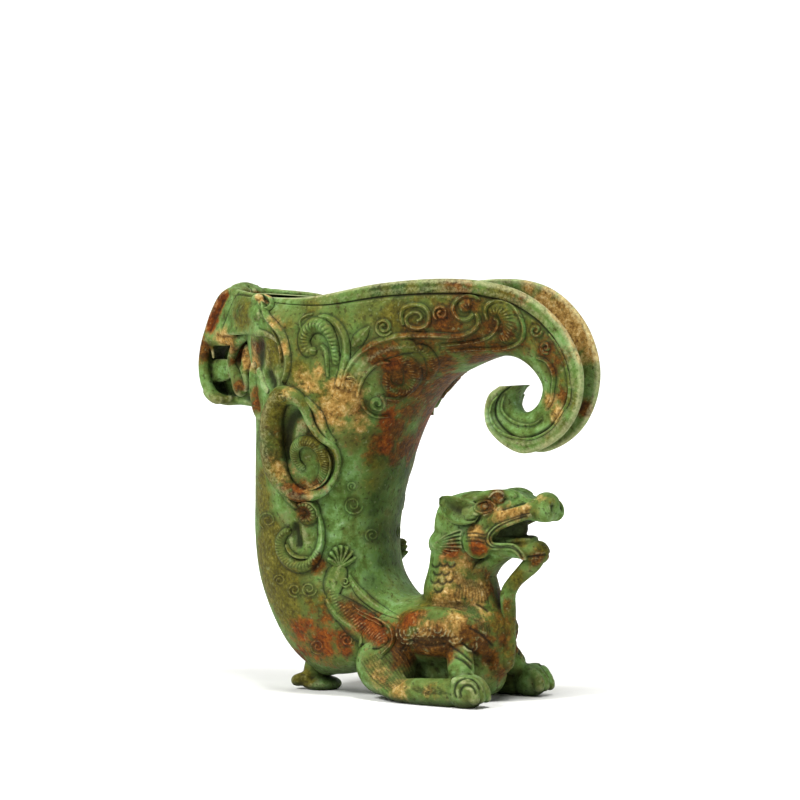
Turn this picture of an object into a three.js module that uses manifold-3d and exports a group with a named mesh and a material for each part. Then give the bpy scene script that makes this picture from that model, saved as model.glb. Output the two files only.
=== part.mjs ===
import * as THREE from "three";
import { mergeVertices } from "three/addons/utils/BufferGeometryUtils.js";
import Module from "manifold-3d";

const wasm = await Module();
wasm.setup();

// Driving dimensions, in millimetres. X runs towards the beast's nose, Z is up,
// Y = 0 is the mirror plane and Z = 0 the table.

// Main sizes of the cup: height of the rim's highest place, length from the rear corner of the rim to the
// front of the curled lip, and half the width of the horn at its widest.
const CUP_HEIGHT = 146.5;
const CUP_LENGTH = 141.7;
const CUP_HALF_WIDTH = 32;

// Walls of the castings, and the room left for the brazing metal between two pieces.
const CUP_WALL = 3;
const LIP_WALL = 2.4;
const BRAZE_GAP = 0.3;

// The cup is a horn that leans forward, opens along its back and rolls its front up into a scroll.
// Each row is one section of it: front x and z (the keel), back x and z (the rear wall, or the rim where
// the section is open), half width, and the share of the oval that is wall (1 is a closed section).
// The rows are as drawn, and are brought to the main sizes. The lip's rows carry on where the horn's end.
const HORN_SECTIONS = [
  [10, 34, -33, 7.5, 21, 1],
  [6, 35.5, -42, 14.5, 22.8, 1],
  [1.5, 38.5, -49, 26, 24.8, 1],
  [-3, 44.5, -54.4, 41, 26, 1],
  [-4.7, 56, -56.3, 56, 26.4, 1],
  [-3, 69, -56.1, 69, 27.2, 1],
  [0.5, 82, -55.6, 82, 28.8, 1],
  [5.5, 95, -55, 96, 31, 1],
  [12, 105, -56.5, 112, 32, 1],
  [18.5, 111, -60, 127, 32, 1],
  [23.5, 113.8, -64, 139, 31, 1],
  [24.5, 114.3, -65.5, 143, 31, 1],
  [27.5, 115.5, -61, 143.2, 31, 0.965],
  [31, 117, -45, 142.2, 31, 0.89],
  [35, 118.5, -20, 141.6, 30.5, 0.72],
  [39, 119.7, 8, 145, 28, 0.63],
  [42.5, 120.4, 30, 146.5, 23, 0.58],
  [45.5, 120.4, 44, 145.5, 17.7, 0.56],
];
const LIP_SECTIONS = [
  [49, 119.6, 55, 142.5, 13.6, 0.55],
  [53, 117.3, 64.5, 136.5, 11, 0.55],
  [56.5, 113.8, 71.8, 128, 9.2, 0.55],
  [58.4, 110, 76.2, 117, 7.4, 0.55],
  [58, 106.8, 76, 108, 6.6, 0.55],
  [56.5, 104, 73, 100, 6.2, 0.55],
  [54.3, 102, 68, 94, 6.2, 0.55],
  [52, 101.2, 60.3, 89.4, 6.4, 0.55],
  [50.3, 101.7, 53, 87.9, 6.8, 0.55],
  [49.2, 102.9, 45.8, 91, 7.4, 0.55],
  [48.6, 104.6, 40.6, 96.5, 8, 0.55],
  [48.5, 106.5, 40, 102, 8.6, 0.55],
  [49.2, 108.3, 42, 107.3, 8.8, 0.55],
  [50.5, 110.5, 46, 110.2, 8.6, 0.55],
];
const FLOOR_DEPTH = 25;
const TIP_WALL = 1;
const MOUTH_CUT = 8;
const END_CUT = 1;

// Bands standing on the side of the horn, as x and z of their middle lines seen from the side.
const RING_THIN = 1.5;
const RING_THICK = 3.2;
const RING_HEIGHT = 3.8;
const UPPER_RING = [
  [-28.8, 107], [-22.4, 106], [-18.8, 102], [-17.8, 96.5], [-14.8, 91.6], [-11.4, 88],
  [-10.6, 83], [-13, 77], [-18.4, 72.4], [-25, 72], [-31, 75.4], [-35.4, 81],
  [-37.2, 88], [-36.6, 95], [-34, 102],
];
const INNER_CURL_HALF_WIDTH = 1.5;
const INNER_CURL_HEIGHT = 2.6;
const INNER_CURL = [
  [-18.4, 76.6], [-15.2, 80], [-15, 84.4], [-17.4, 88], [-21.4, 89.4], [-25, 87.4], [-25.8, 83.4],
  [-23.4, 80.4],
];
const LOWER_RING_HALF_WIDTH = 1.8;
const LOWER_RING_HEIGHT = 3.6;
const LOWER_RING = [
  [-23, 66.6], [-19.4, 63.4], [-18, 58.6], [-18.6, 52.6], [-22, 48.2], [-27, 47.2], [-31.4, 49.6],
  [-32.6, 54.4], [-31, 59.6], [-27.6, 64.4],
];
const BROW_HALF_WIDTH = 1.7;
const BROW_HEIGHT = 2.4;
const BROW_BAND = [[-42.6, 138.6], [-38.6, 135.6], [-35.4, 131.4], [-31, 126.2], [-28, 120], [-27, 113.4]];
// Low relief cast in the wall under the rim. Each row is a half width, a height and a middle line as above.
const HORN_RELIEF = [
  // Fern-like curl at the back, and its stalk
  [2.2, 1.9, [[-7.4, 117], [-8, 122], [-9.2, 127.2], [-12.2, 130.8], [-16, 131], [-19, 129], [-20, 125.4]]],
  [1.4, 1.3, [[-7.2, 109.4], [-5, 115.4], [-4, 121.8], [-3.8, 126.6], [-6.2, 131.2], [-10, 133.6], [-14.4, 134.2]]],
  // Arched ridge that runs on towards the lip, and the broad band under it
  [1.1, 1.3, [[-6.2, 108.6], [-3.6, 115.4], [2.8, 123], [13, 126.8], [26.6, 127.8], [37.6, 128.2], [41.4, 130.6]]],
  [3, 0.8, [[-3.4, 108], [-1, 113.8], [2.6, 118.6], [8.4, 122.2], [15.6, 124], [21.2, 123.6]]],
  // Shell-like curl and its outer turn
  [2.6, 1.9, [[13.4, 120], [15.8, 118], [15, 113.4], [12, 109.2], [9, 108.2], [7.4, 110], [7.8, 112.8]]],
  [1.8, 1.2, [[19, 123], [22.6, 123], [24, 120.4], [21.4, 116], [17.2, 111.6]]],
  // Round and square curls along the rim, and the first of the two tendril heads
  [0.9, 0.9, [[14.4, 130.6], [13.2, 128.6], [11, 127.6], [8.8, 128.6], [8, 130.6], [9.2, 132.6], [11.4, 133.6]]],
  [0.9, 0.9, [[18.4, 131], [17.8, 134.4], [18.8, 137], [22.2, 138.2], [25.6, 137.4], [27.2, 134.6], [26.4, 131.4]]],
  [0.9, 1, [[41, 135.2], [39.4, 133.4], [36.6, 133.8], [35.2, 136.4], [35.8, 139.2], [38.2, 140.8], [41, 140.8]]],
];
const LIP_RELIEF = [
  // Second tendril head and its edge
  [2.4, 1.5, [[48.4, 126.4], [51, 128.2], [52.6, 132.4], [50.8, 136], [48.4, 136.6]]],
  [0.8, 1, [[47.6, 139], [51.2, 138.8], [54.6, 136.8], [56.4, 133.8], [56.8, 129.4], [55, 125.8], [50.8, 124.2]]],
];
const WING_TIP_HALF_WIDTH = 2.6;
const WING_ROOT_HALF_WIDTH = 6;
const WING_HEIGHT = 3;
const WING = [[-11.4, 52], [-14.2, 45.6], [-13.4, 38.4], [-8.4, 32], [-1, 27], [7, 23.4], [13, 21]];

// The rear lip rolls over and down into an open scroll: middle line of the strap, seen from the side.
const STRAP_HALF_WIDTH = 9.5;
const STRAP_THICKNESS = 3.4;
const STRAP = [
  [-62.4, 142], [-68.4, 141.4], [-72.6, 134.6], [-76, 127.6], [-78.2, 120], [-77.6, 113], [-75.4, 107.4],
  [-72.2, 105], [-69.2, 107.4], [-67.4, 113], [-65.2, 119], [-62.4, 124],
];
const WEB_INSET = 2;
const WEB = [[-55, 139.4], [-68, 139.4], [-74.6, 126.4], [-75, 122], [-55, 122]];
const HOOK_RADIUS = 2.6;
const HOOK_INSET = 1.5;
const HOOK = [[-53, 119], [-60, 118], [-62.4, 113], [-61.8, 107]];

// The beast lies under the cup with its head up. Rows along X: x, top z, bottom z, half width.
const TORSO = [
  [-25, 14, 5.4, 8.6], [-16, 24.4, 5.4, 16], [-6, 32.4, 7.4, 19.4], [6, 35.4, 9.4, 20], [16, 36.4, 10.4, 19],
  [26, 36.4, 10.4, 17.6], [34, 35, 9, 16], [40, 32, 6.8, 13.4], [44, 27, 7.2, 9],
];
const BELLY = [
  [-20, 13, 3, 11], [-4, 18.6, 1.4, 14.4], [10, 19.2, 0.8, 14], [26, 19.2, 0.8, 13.6], [36, 20.6, 1.4, 12.4],
  [43, 20.4, 3.6, 9],
];
// Shoulder blades stand out from the trunk over the forelegs, and the breast runs up under the neck.
const BLADE_X = 27;
const BLADE_Y = 14.8;
const BLADE_Z = 24.2;
const BLADE_LENGTH = 36;
const BLADE_WIDTH = 12.4;
const BLADE_HEIGHT = 17.6;
const BREAST_X = 35.2;
const BREAST_Z = 28;
const BREAST_LENGTH = 15;
const BREAST_WIDTH = 23;
const BREAST_HEIGHT = 36;
// Head and jaw are rows too, their heights counted from the top of the neck.
const HEAD = [
  [15.8, 8, -1, 4.4], [19, 12, -5.6, 8], [24.6, 14.6, -7.4, 10.2], [32, 16, -7, 10.8],
  [38, 16.4, -4.4, 10.2], [44, 16, 1.6, 9], [50, 15, 3.4, 7.8], [55.6, 12.8, 4.4, 6.2],
  [59.6, 14.8, 4.6, 6.2], [63, 13.6, 5, 5.4], [65.2, 10.6, 7, 3],
];
const JAW = [
  [34, -3, -9, 6.6], [40, -3.4, -10.4, 7.6], [48, -3.6, -10.2, 6.8], [54, -1.4, -9.4, 5.8],
  [58.6, -1.2, -8.4, 4.8], [60.6, -3.4, -6.4, 3],
];
const NECK_X = 25.6;
const NECK_RADIUS = 11.2;
const NECK_SPREAD = 4.4;
const NECK_SEAT = 30;
const NECK_TOP = 58;
const TENON_RADIUS = 7;
const TENON_DEPTH = 8;
const BEARD_RADIUS = 3;
const BEARD_FOOT = 14;
const BEARD_DROP = 7.4;
const BEARD = [[55.4, 1], [51, 0.874], [47.4, 0.749], [45.4, 0.601], [44, 0.437], [43.8, 0.219], [43.6, 0]];
const EAR_X = 33;
const EAR_LIFT = 6.4;
const EAR_LENGTH = 15;
const EAR_HALF_WIDTH = 4.8;
const EAR_THICKNESS = 3.6;
const EAR_LEAN = 36;
const EAR_SPLAY = 24;
const EYE_X = 40.8;
const EYE_LIFT = 11.4;
const EYE_RADIUS = 2.6;
const FORELEG_Y = 22;
const FORELEG_RADIUS = 5;
const FORELEG_FLAT = 0.8;
const FORELEG_BACK = 12;
const FORELEG_FRONT = 39;
const UPPER_ARM_RADIUS = 5.6;
const SHOULDER_X = 31;
const SHOULDER_Y = 15;
const SHOULDER_Z = 22;
const ELBOW_X = 36.4;
const ELBOW_Y = 18.6;
const ELBOW_Z = 13.6;
const PAW_X = 41.2;
const PAW_LENGTH = 13.6;
const PAW_WIDTH = 13;
const PAW_HEIGHT = 12;
const PAW_FLAT = 1;
const HAUNCH_X = 4;
const HAUNCH_Y = 18.4;
const HAUNCH_Z = 11.8;
const HAUNCH_LENGTH = 22;
const HAUNCH_WIDTH = 13;
const HAUNCH_HEIGHT = 24;
const FOOT_X = -39;
const FOOT_LENGTH = 13;
const FOOT_HALF_WIDTH = 9;
const FOOT_HEIGHT = 6;
const FOOT_EDGE = 1;
const PILLAR_LENGTH = 8;
const PILLAR_TOP = 20;

// Solids from rings of points, and the joins and cuts between them. The far half of a ring is split into
// triangles the other way round from the near half, so that a symmetrical body has a symmetrical surface.
function loft(rings, loop = false) {
  const count = rings[0].length;
  const position = rings.flat().flatMap((p) => [p.x, p.y, p.z]);
  const index = [];
  rings.forEach((_, r) => {
    if (r === rings.length - 1 && !loop) return;
    const here = r * count;
    const next = ((r + 1) % rings.length) * count;
    for (let i = 0; i < count; i++) {
      const j = (i + 1) % count;
      if (i < count / 2) index.push(here + i, here + j, next + j, here + i, next + j, next + i);
      else index.push(here + i, here + j, next + i, here + j, next + j, next + i);
    }
  });
  const ends = loop ? [] : [0, rings.length - 1];
  ends.forEach((r) => {
    const centre = rings[r].reduce((sum, p) => sum.add(p), new THREE.Vector3()).divideScalar(count);
    const c = position.length / 3;
    position.push(centre.x, centre.y, centre.z);
    for (let i = 0; i < count; i++) {
      const j = (i + 1) % count;
      index.push(...(r ? [r * count + i, r * count + j, c] : [r * count + j, r * count + i, c]));
    }
  });
  const geometry = new THREE.BufferGeometry();
  geometry.setAttribute("position", new THREE.Float32BufferAttribute(position, 3));
  geometry.setIndex(index);
  return solid(geometry);
}

function solid(geometry) {
  const bare = geometry.clone();
  bare.deleteAttribute("normal");
  bare.deleteAttribute("uv");
  const merged = mergeVertices(bare, 1e-4);
  const vertProperties = merged.attributes.position.array;
  const triVerts = new Uint32Array(merged.index.array);
  const made = new wasm.Manifold(new wasm.Mesh({ numProp: 3, vertProperties, triVerts }));
  if (made.volume() > 0) return made;
  return new wasm.Manifold(new wasm.Mesh({ numProp: 3, vertProperties, triVerts: triVerts.reverse() }));
}

function geometryOf(made) {
  const mesh = made.getMesh();
  const geometry = new THREE.BufferGeometry();
  geometry.setAttribute("position", new THREE.BufferAttribute(mesh.vertProperties, 3));
  geometry.setIndex(new THREE.BufferAttribute(mesh.triVerts, 1));
  return geometry;
}

const mirrored = (made) => made.mirror([0, 1, 0]);
const cutBy = (made, ...tools) => largest(tools.reduce((left, tool) => left.subtract(tool), made));
const largest = (made) => made.decompose().reduce((a, b) => (a.volume() > b.volume() ? a : b));
const aboveTable = (made) => made.trimByPlane([0, 0, 1], 0);
const steps = (from, to, n) => Array.from({ length: n + 1 }, (_, i) => from + ((to - from) * i) / n);
const turns = (n) => steps(0, 2 * Math.PI, n).slice(0, n);
const blend = (a, b, t) => a + (b - a) * t;

// The last ring of each end, repeated a little further out, so that a cut goes clean through
function lengthened(rings, reach) {
  const shifted = (ring, next) => {
    const way = ring[0].clone().sub(next[0]).setLength(reach);
    return ring.map((p) => p.clone().add(way));
  };
  const last = rings.length - 1;
  return [shifted(rings[0], rings[1]), ...rings, shifted(rings[last], rings[last - 1])];
}

// A round bar along points in space, thicker by an amount where it serves as a cutter
function bar(points, radius, grow, sides = 8) {
  const path = new THREE.CatmullRomCurve3(points);
  const n = points.length * 2;
  const frames = path.computeFrenetFrames(n);
  const rings = steps(0, 1, n).map((t, i) => {
    const centre = path.getPointAt(t);
    return turns(sides).map((a) =>
      centre
        .clone()
        .addScaledVector(frames.normals[i], (radius + grow) * Math.cos(a))
        .addScaledVector(frames.binormals[i], (radius + grow) * Math.sin(a)),
    );
  });
  return loft(grow ? lengthened(rings, grow) : rings);
}

// A body lofted along X through rows of x, top, bottom and half width
function bodyAlongX(rows, grow, sides) {
  const ends = new THREE.CatmullRomCurve3(rows.map((row) => new THREE.Vector3(row[0], row[1], row[2])));
  const widths = new THREE.CatmullRomCurve3(rows.map((row) => new THREE.Vector3(row[0], row[3], 0)));
  const n = (rows.length - 1) * 2;
  const rings = steps(0, 1, n).map((t) => {
    const { x, y: top, z: bottom } = ends.getPoint(t);
    const half = widths.getPoint(t).y;
    return turns(sides).map((a) => {
      const turn = a + Math.PI / sides;
      const y = -(half + grow) * Math.sin(turn);
      const z = (top + bottom) / 2 - ((top - bottom) / 2 + grow) * Math.cos(turn);
      return new THREE.Vector3(x, y, z);
    });
  });
  return loft(grow > 0 ? lengthened(rings, grow) : rings);
}

function ball(x, y, z, length, width, height, grow) {
  const sphere = new THREE.SphereGeometry(1, 14, 8);
  sphere.scale(length / 2 + grow, width / 2 + grow, height / 2 + grow);
  return solid(sphere.translate(x, y, z));
}

// A flat outline in the side view, given a width across the mirror plane
function plate(outline, halfWidth) {
  const shape = new THREE.Shape(outline.map(([x, z]) => new THREE.Vector2(x, z)));
  const geometry = new THREE.ExtrudeGeometry(shape, { depth: 2 * halfWidth, bevelEnabled: false });
  return solid(geometry.rotateX(Math.PI / 2).translate(0, halfWidth, 0));
}

// A strap of even thickness along a middle line in the side view
function strap(points, thickness, halfWidth) {
  const path = new THREE.CatmullRomCurve3(points.map(([x, z]) => new THREE.Vector3(x, 0, z)));
  const n = points.length * 2;
  const side = (sign) =>
    steps(0, 1, n).map((t) => {
      const p = path.getPoint(t);
      const way = path.getTangent(t);
      return [p.x - (sign * way.z * thickness) / 2, p.z + (sign * way.x * thickness) / 2];
    });
  return plate([...side(1), ...side(-1).reverse()], halfWidth);
}

// Horn, curled lip, and the plug in the lower end of the horn that is the cup's floor
const drawnRows = [...HORN_SECTIONS, ...LIP_SECTIONS];
const largestOf = (column) => Math.max(...drawnRows.map((row) => row[column]));
const leastOf = (column) => Math.min(...drawnRows.map((row) => row[column]));
const lengthen = CUP_LENGTH / (largestOf(2) - leastOf(2));
const raise = CUP_HEIGHT / largestOf(3);
const widen = CUP_HALF_WIDTH / largestOf(4);
const placed = (points) => points.map(([x, z]) => [x * lengthen, z * raise]);
const line = (points) => new THREE.CatmullRomCurve3(points.map(([x, z]) => new THREE.Vector3(x, 0, z)));
const keelLine = line(placed(drawnRows.map((row) => [row[0], row[1]])));
const backLine = line(placed(drawnRows.map((row) => [row[2], row[3]])));
const closedShare = drawnRows[0][5];
const girthLine = line(drawnRows.map((row) => [row[4] * widen, row[5] / closedShare]));
const lastSection = drawnRows.length - 1;
const seamSection = HORN_SECTIONS.length - 1;
const closedEnd = drawnRows.findIndex((row) => row[5] < closedShare) - 1;
const at = (section) => section / lastSection;

// One oval of the horn, grown outwards by an amount (inwards by a negative one). An open oval stops at
// the rim; with a reach its ends carry on past the rim by that much, for cutting the mouth.
function hornRing(section, grow, count, reach) {
  const u = at(section);
  const keel = keelLine.getPoint(u);
  const out = backLine.getPoint(u).sub(keel);
  const { x: half, z: wallShare } = girthLine.getPoint(u);
  const share = Math.min(wallShare, 1);
  const open = section > closedEnd + 1e-6;
  const depth = out.length();
  const radius = depth / share / 2;
  out.normalize();
  const arc = open && reach ? count - 2 : count;
  const shut = Math.PI * (1 - 1 / count);
  const shrink = Math.min(grow, 0);
  const rimAngle = Math.acos(Math.max(-1, 1 - (depth + shrink) / (radius + shrink)));
  const limit = open ? Math.min(shut, rimAngle) : shut;
  const points = steps(-limit, limit, arc - 1).map((angle) => {
    const p = keel.clone().addScaledVector(out, (radius + grow) * (1 - Math.cos(angle)) - grow);
    p.y = (half + grow) * Math.sin(angle);
    return p;
  });
  if (arc === count) return points;
  const first = points[0].clone().addScaledVector(out, reach);
  const last = points[arc - 1].clone().addScaledVector(out, reach);
  return [first, ...points, last];
}

const HORN_COUNT = 26;
const LIP_COUNT = 14;
const hornRows = [...steps(0, closedEnd, 15), ...steps(closedEnd + 0.5, seamSection, 8)];
const hornRings = (grow, reach) => hornRows.map((row) => hornRing(row, grow, HORN_COUNT, reach));
const hornBody = loft(hornRings(0, 0));
const hornGrown = loft(lengthened(hornRings(BRAZE_GAP, 0), BRAZE_GAP));
const hornShell = largest(hornBody.subtract(loft(lengthened(hornRings(-CUP_WALL, MOUTH_CUT), END_CUT))));

const between = (curve, a, b) => curve.getPoint(at(a)).distanceTo(curve.getPoint(at(b)));
const lipStart = seamSection + BRAZE_GAP / between(keelLine, seamSection, seamSection + 1);
const lipRings = (from, to, grow, reach) =>
  steps(from, to, 22).map((row) => hornRing(row, grow, LIP_COUNT, reach));
const tipStart = lastSection - TIP_WALL / between(keelLine, lastSection - 1, lastSection);
const hollowRings = lipRings(lipStart, tipStart, -LIP_WALL, MOUTH_CUT);
const lipHollow = lengthened(hollowRings, END_CUT).slice(0, -1);
const lipBody = loft(lipRings(lipStart, lastSection, 0, 0));
const curledLip = largest(lipBody.subtract(loft(lipHollow)));
const floorTop = (2 * FLOOR_DEPTH) / between(backLine, 0, 2);
const cupFloor = loft(
  steps(0, floorTop, 3).map((row) => hornRing(row, -CUP_WALL - BRAZE_GAP, HORN_COUNT, 0)),
);

// Beast: torso over the horn's lower end, neck with a tenon at its foot, head, jaw, beard, ears and eyes
const torsoBody = (grow) => {
  const blade = ball(BLADE_X, -BLADE_Y, BLADE_Z, BLADE_LENGTH, BLADE_WIDTH, BLADE_HEIGHT, grow);
  const breast = ball(BREAST_X, 0, BREAST_Z, BREAST_LENGTH, BREAST_WIDTH, BREAST_HEIGHT, grow);
  const trunk = bodyAlongX(TORSO, grow, 16).add(bodyAlongX(BELLY, grow, 16));
  return trunk.add(blade).add(mirrored(blade)).add(breast);
};
const torsoGrown = torsoBody(BRAZE_GAP);
const neckAxis = (z) => new THREE.Vector3(NECK_X, 0, z);
const neckRing = (z, radius) =>
  turns(16).map((a) => neckAxis(z).add(new THREE.Vector3(radius * Math.cos(a), radius * Math.sin(a), 0)));
const neckBody = (grow) =>
  loft(
    steps(0, 1, 8).map((t) =>
      neckRing(
        blend(NECK_SEAT, NECK_TOP + grow, t),
        NECK_RADIUS + grow + NECK_SPREAD * Math.max(0, 1 - t * 2) ** 2,
      ),
    ),
  );
const tenonFoot = NECK_SEAT - TENON_DEPTH;
const tenon = (grow) => loft([tenonFoot - grow, NECK_TOP - 2].map((z) => neckRing(z, TENON_RADIUS + grow)));
const torso = cutBy(torsoBody(0), hornGrown, tenon(BRAZE_GAP));
const neck = cutBy(neckBody(0), torsoGrown, hornGrown).add(tenon(0));
const onNeck = (rows) => rows.map(([x, top, bottom, half]) => [x, NECK_TOP + top, NECK_TOP + bottom, half]);
const headGrown = bodyAlongX(onNeck(HEAD), BRAZE_GAP, 14);
const head = cutBy(bodyAlongX(onNeck(HEAD), 0, 14), neckBody(BRAZE_GAP));
const jawGrown = bodyAlongX(onNeck(JAW), BRAZE_GAP, 12);
const jaw = cutBy(bodyAlongX(onNeck(JAW), 0, 12), headGrown, neckBody(BRAZE_GAP));
const beardHeight = (share) => blend(BEARD_FOOT, NECK_TOP - BEARD_DROP, share);
const beardPoints = BEARD.map(([x, share]) => new THREE.Vector3(x, 0, beardHeight(share)));
const beard = cutBy(bar(beardPoints, BEARD_RADIUS, 0), jawGrown, torsoGrown);

// Nearest point of a body to the near side, and the way its surface faces there. Where the body doesn't
// reach the place asked for, the place moves towards the middle of the body until it does.
function nearSide(carrier, x, z) {
  const mesh = new THREE.Mesh(geometryOf(carrier));
  const box = new THREE.Box3().setFromObject(mesh);
  const middle = box.getCenter(new THREE.Vector3());
  for (const t of steps(0, 1, 50)) {
    const from = new THREE.Vector3(blend(x, middle.x, t), 2 * box.min.y, blend(z, middle.z, t));
    const hit = new THREE.Raycaster(from, new THREE.Vector3(0, 1, 0)).intersectObject(mesh)[0];
    if (hit) return { point: hit.point, facing: hit.face.normal };
  }
}

const headBody = bodyAlongX(onNeck(HEAD), 0, 14);
const earRoot = nearSide(headBody, EAR_X, NECK_TOP + EAR_LIFT).point;
const lean = THREE.MathUtils.degToRad(EAR_LEAN);
const splay = THREE.MathUtils.degToRad(EAR_SPLAY);
const earWay = new THREE.Vector3(-Math.cos(lean), -Math.sin(splay), Math.sin(lean)).normalize();
const earAcross = new THREE.Vector3(Math.sin(lean), 0, Math.cos(lean));
const earOut = new THREE.Vector3().crossVectors(earWay, earAcross).normalize();
const earRings = steps(0, 1, 6).map((t) => {
  const swell = 0.15 + 0.85 * Math.sin(Math.PI * Math.min(1, 0.25 + 0.74 * t));
  const centre = earRoot.clone().addScaledVector(earWay, EAR_LENGTH * (t - 0.2));
  return turns(8).map((a) =>
    centre
      .clone()
      .addScaledVector(earAcross, EAR_HALF_WIDTH * swell * Math.cos(a))
      .addScaledVector(earOut, (EAR_THICKNESS / 2) * swell * Math.sin(a)),
  );
});
const ear = cutBy(loft(earRings), headGrown);
const eyeSeat = nearSide(headBody, EYE_X, NECK_TOP + EYE_LIFT).point;
const eyeSize = 2 * EYE_RADIUS;
const eye = cutBy(ball(eyeSeat.x, eyeSeat.y, eyeSeat.z, eyeSize, eyeSize, eyeSize, 0), headGrown);

// Legs: a forearm flat on the table, joined at the paw by the upper arm; haunch and rear foot
const forelegBars = (grow) => {
  const forearm = [FORELEG_BACK, (FORELEG_BACK + FORELEG_FRONT) / 2, FORELEG_FRONT].map(
    (x) => new THREE.Vector3(x, -FORELEG_Y, FORELEG_RADIUS - FORELEG_FLAT),
  );
  const upperArm = [
    new THREE.Vector3(SHOULDER_X, -SHOULDER_Y, SHOULDER_Z),
    new THREE.Vector3(ELBOW_X, -ELBOW_Y, ELBOW_Z),
    new THREE.Vector3(FORELEG_FRONT, -FORELEG_Y, FORELEG_RADIUS),
  ];
  return bar(forearm, FORELEG_RADIUS, grow).add(bar(upperArm, UPPER_ARM_RADIUS, grow));
};
const forelegGrown = forelegBars(BRAZE_GAP);
const foreleg = aboveTable(cutBy(forelegBars(0), torsoGrown));
const pawBall = ball(PAW_X, -FORELEG_Y, PAW_HEIGHT / 2 - PAW_FLAT, PAW_LENGTH, PAW_WIDTH, PAW_HEIGHT, 0);
const paw = aboveTable(cutBy(pawBall, forelegGrown, torsoGrown));
const haunchBall = (grow) =>
  ball(HAUNCH_X, -HAUNCH_Y, HAUNCH_Z, HAUNCH_LENGTH, HAUNCH_WIDTH, HAUNCH_HEIGHT, grow);
const haunch = aboveTable(cutBy(haunchBall(0), torsoGrown, hornGrown, forelegGrown));
const footRing = (z, half, width) =>
  turns(16).map((a) => new THREE.Vector3(FOOT_X + half * Math.cos(a), width * Math.sin(a), z));
const rearFoot = cutBy(
  loft([
    footRing(0, FOOT_LENGTH / 2 - FOOT_EDGE, FOOT_HALF_WIDTH - FOOT_EDGE),
    footRing(FOOT_EDGE, FOOT_LENGTH / 2, FOOT_HALF_WIDTH),
    footRing(FOOT_HEIGHT - 2 * FOOT_EDGE, FOOT_LENGTH / 2, FOOT_HALF_WIDTH),
    footRing(FOOT_HEIGHT, PILLAR_LENGTH / 2, FOOT_HALF_WIDTH - FOOT_EDGE),
    footRing(PILLAR_TOP, PILLAR_LENGTH / 2, FOOT_HALF_WIDTH - FOOT_EDGE),
  ]),
  hornGrown,
);

// Bands brazed to the side of the horn, and the wing that runs from the horn down over the shoulder
function band(carrier, points, halfWidth, height, grow, loop) {
  const seats = points.map(([x, z]) => nearSide(carrier, x, z).point);
  const path = new THREE.CatmullRomCurve3(seats, loop);
  const n = points.length * 2;
  const rings = (loop ? steps(0, 1, n).slice(0, n) : steps(0, 1, n)).map((t) => {
    const p = path.getPoint(t);
    const out = nearSide(carrier, p.x, p.z).facing;
    const across = new THREE.Vector3().crossVectors(path.getTangent(t), out).normalize();
    return turns(6).map((a) =>
      p
        .clone()
        .addScaledVector(across, (halfWidth(t) + grow) * Math.cos(a))
        .addScaledVector(out, (height + grow) * Math.sin(a)),
    );
  });
  return loft(grow && !loop ? lengthened(rings, grow) : rings, loop);
}
const relief = (carrier, rows) => {
  const bands = rows.map(([half, height, points]) => band(carrier, placed(points), () => half, height, 0, false));
  const near = bands.reduce((made, next) => made.add(next));
  return near.add(mirrored(near));
};
const hornCasting = largest(hornShell.add(relief(hornBody, HORN_RELIEF)));
const lipCasting = largest(curledLip.add(relief(lipBody, LIP_RELIEF)));
const ringHalfWidth = (t) => blend(RING_THIN, RING_THICK, Math.max(0, Math.sin(Math.PI * (t * 1.6 - 0.6))));
const upperRing = (grow) => band(hornBody, placed(UPPER_RING), ringHalfWidth, RING_HEIGHT, grow, true);
const ring = cutBy(upperRing(0), hornGrown);
const curlHalfWidth = () => INNER_CURL_HALF_WIDTH;
const innerCurl = cutBy(
  band(hornBody, placed(INNER_CURL), curlHalfWidth, INNER_CURL_HEIGHT, 0, false),
  hornGrown,
  upperRing(BRAZE_GAP),
);
const lowerHalfWidth = () => LOWER_RING_HALF_WIDTH;
const lowerRing = cutBy(
  band(hornBody, placed(LOWER_RING), lowerHalfWidth, LOWER_RING_HEIGHT, 0, true),
  hornGrown,
  upperRing(BRAZE_GAP),
);
const browHalfWidth = () => BROW_HALF_WIDTH;
const brow = cutBy(
  band(hornBody, placed(BROW_BAND), browHalfWidth, BROW_HEIGHT, 0, false),
  hornGrown,
  upperRing(BRAZE_GAP),
);
const wingSeat = hornBody.add(torsoBody(0)).add(haunchBall(0));
const wingHalfWidth = (t) => blend(WING_TIP_HALF_WIDTH, WING_ROOT_HALF_WIDTH, Math.sin(Math.PI * 0.7 * t));
const wing = cutBy(
  band(wingSeat, WING, wingHalfWidth, WING_HEIGHT, 0, false),
  hornGrown,
  torsoGrown,
  haunchBall(BRAZE_GAP),
  forelegGrown,
);

// Rear lip: strap, the web under it, and the two hooks
const rearStrap = cutBy(strap(placed(STRAP), STRAP_THICKNESS, STRAP_HALF_WIDTH), hornGrown);
const strapGrown = strap(placed(STRAP), STRAP_THICKNESS + 2 * BRAZE_GAP, STRAP_HALF_WIDTH + BRAZE_GAP);
const rearWeb = cutBy(plate(placed(WEB), STRAP_HALF_WIDTH - WEB_INSET), hornGrown, strapGrown);
const hookY = STRAP_HALF_WIDTH - HOOK_INSET;
const hookPoints = placed(HOOK).map(([x, z]) => new THREE.Vector3(x, -hookY, z));
const hook = cutBy(bar(hookPoints, HOOK_RADIUS, 0), hornGrown, strapGrown);

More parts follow.
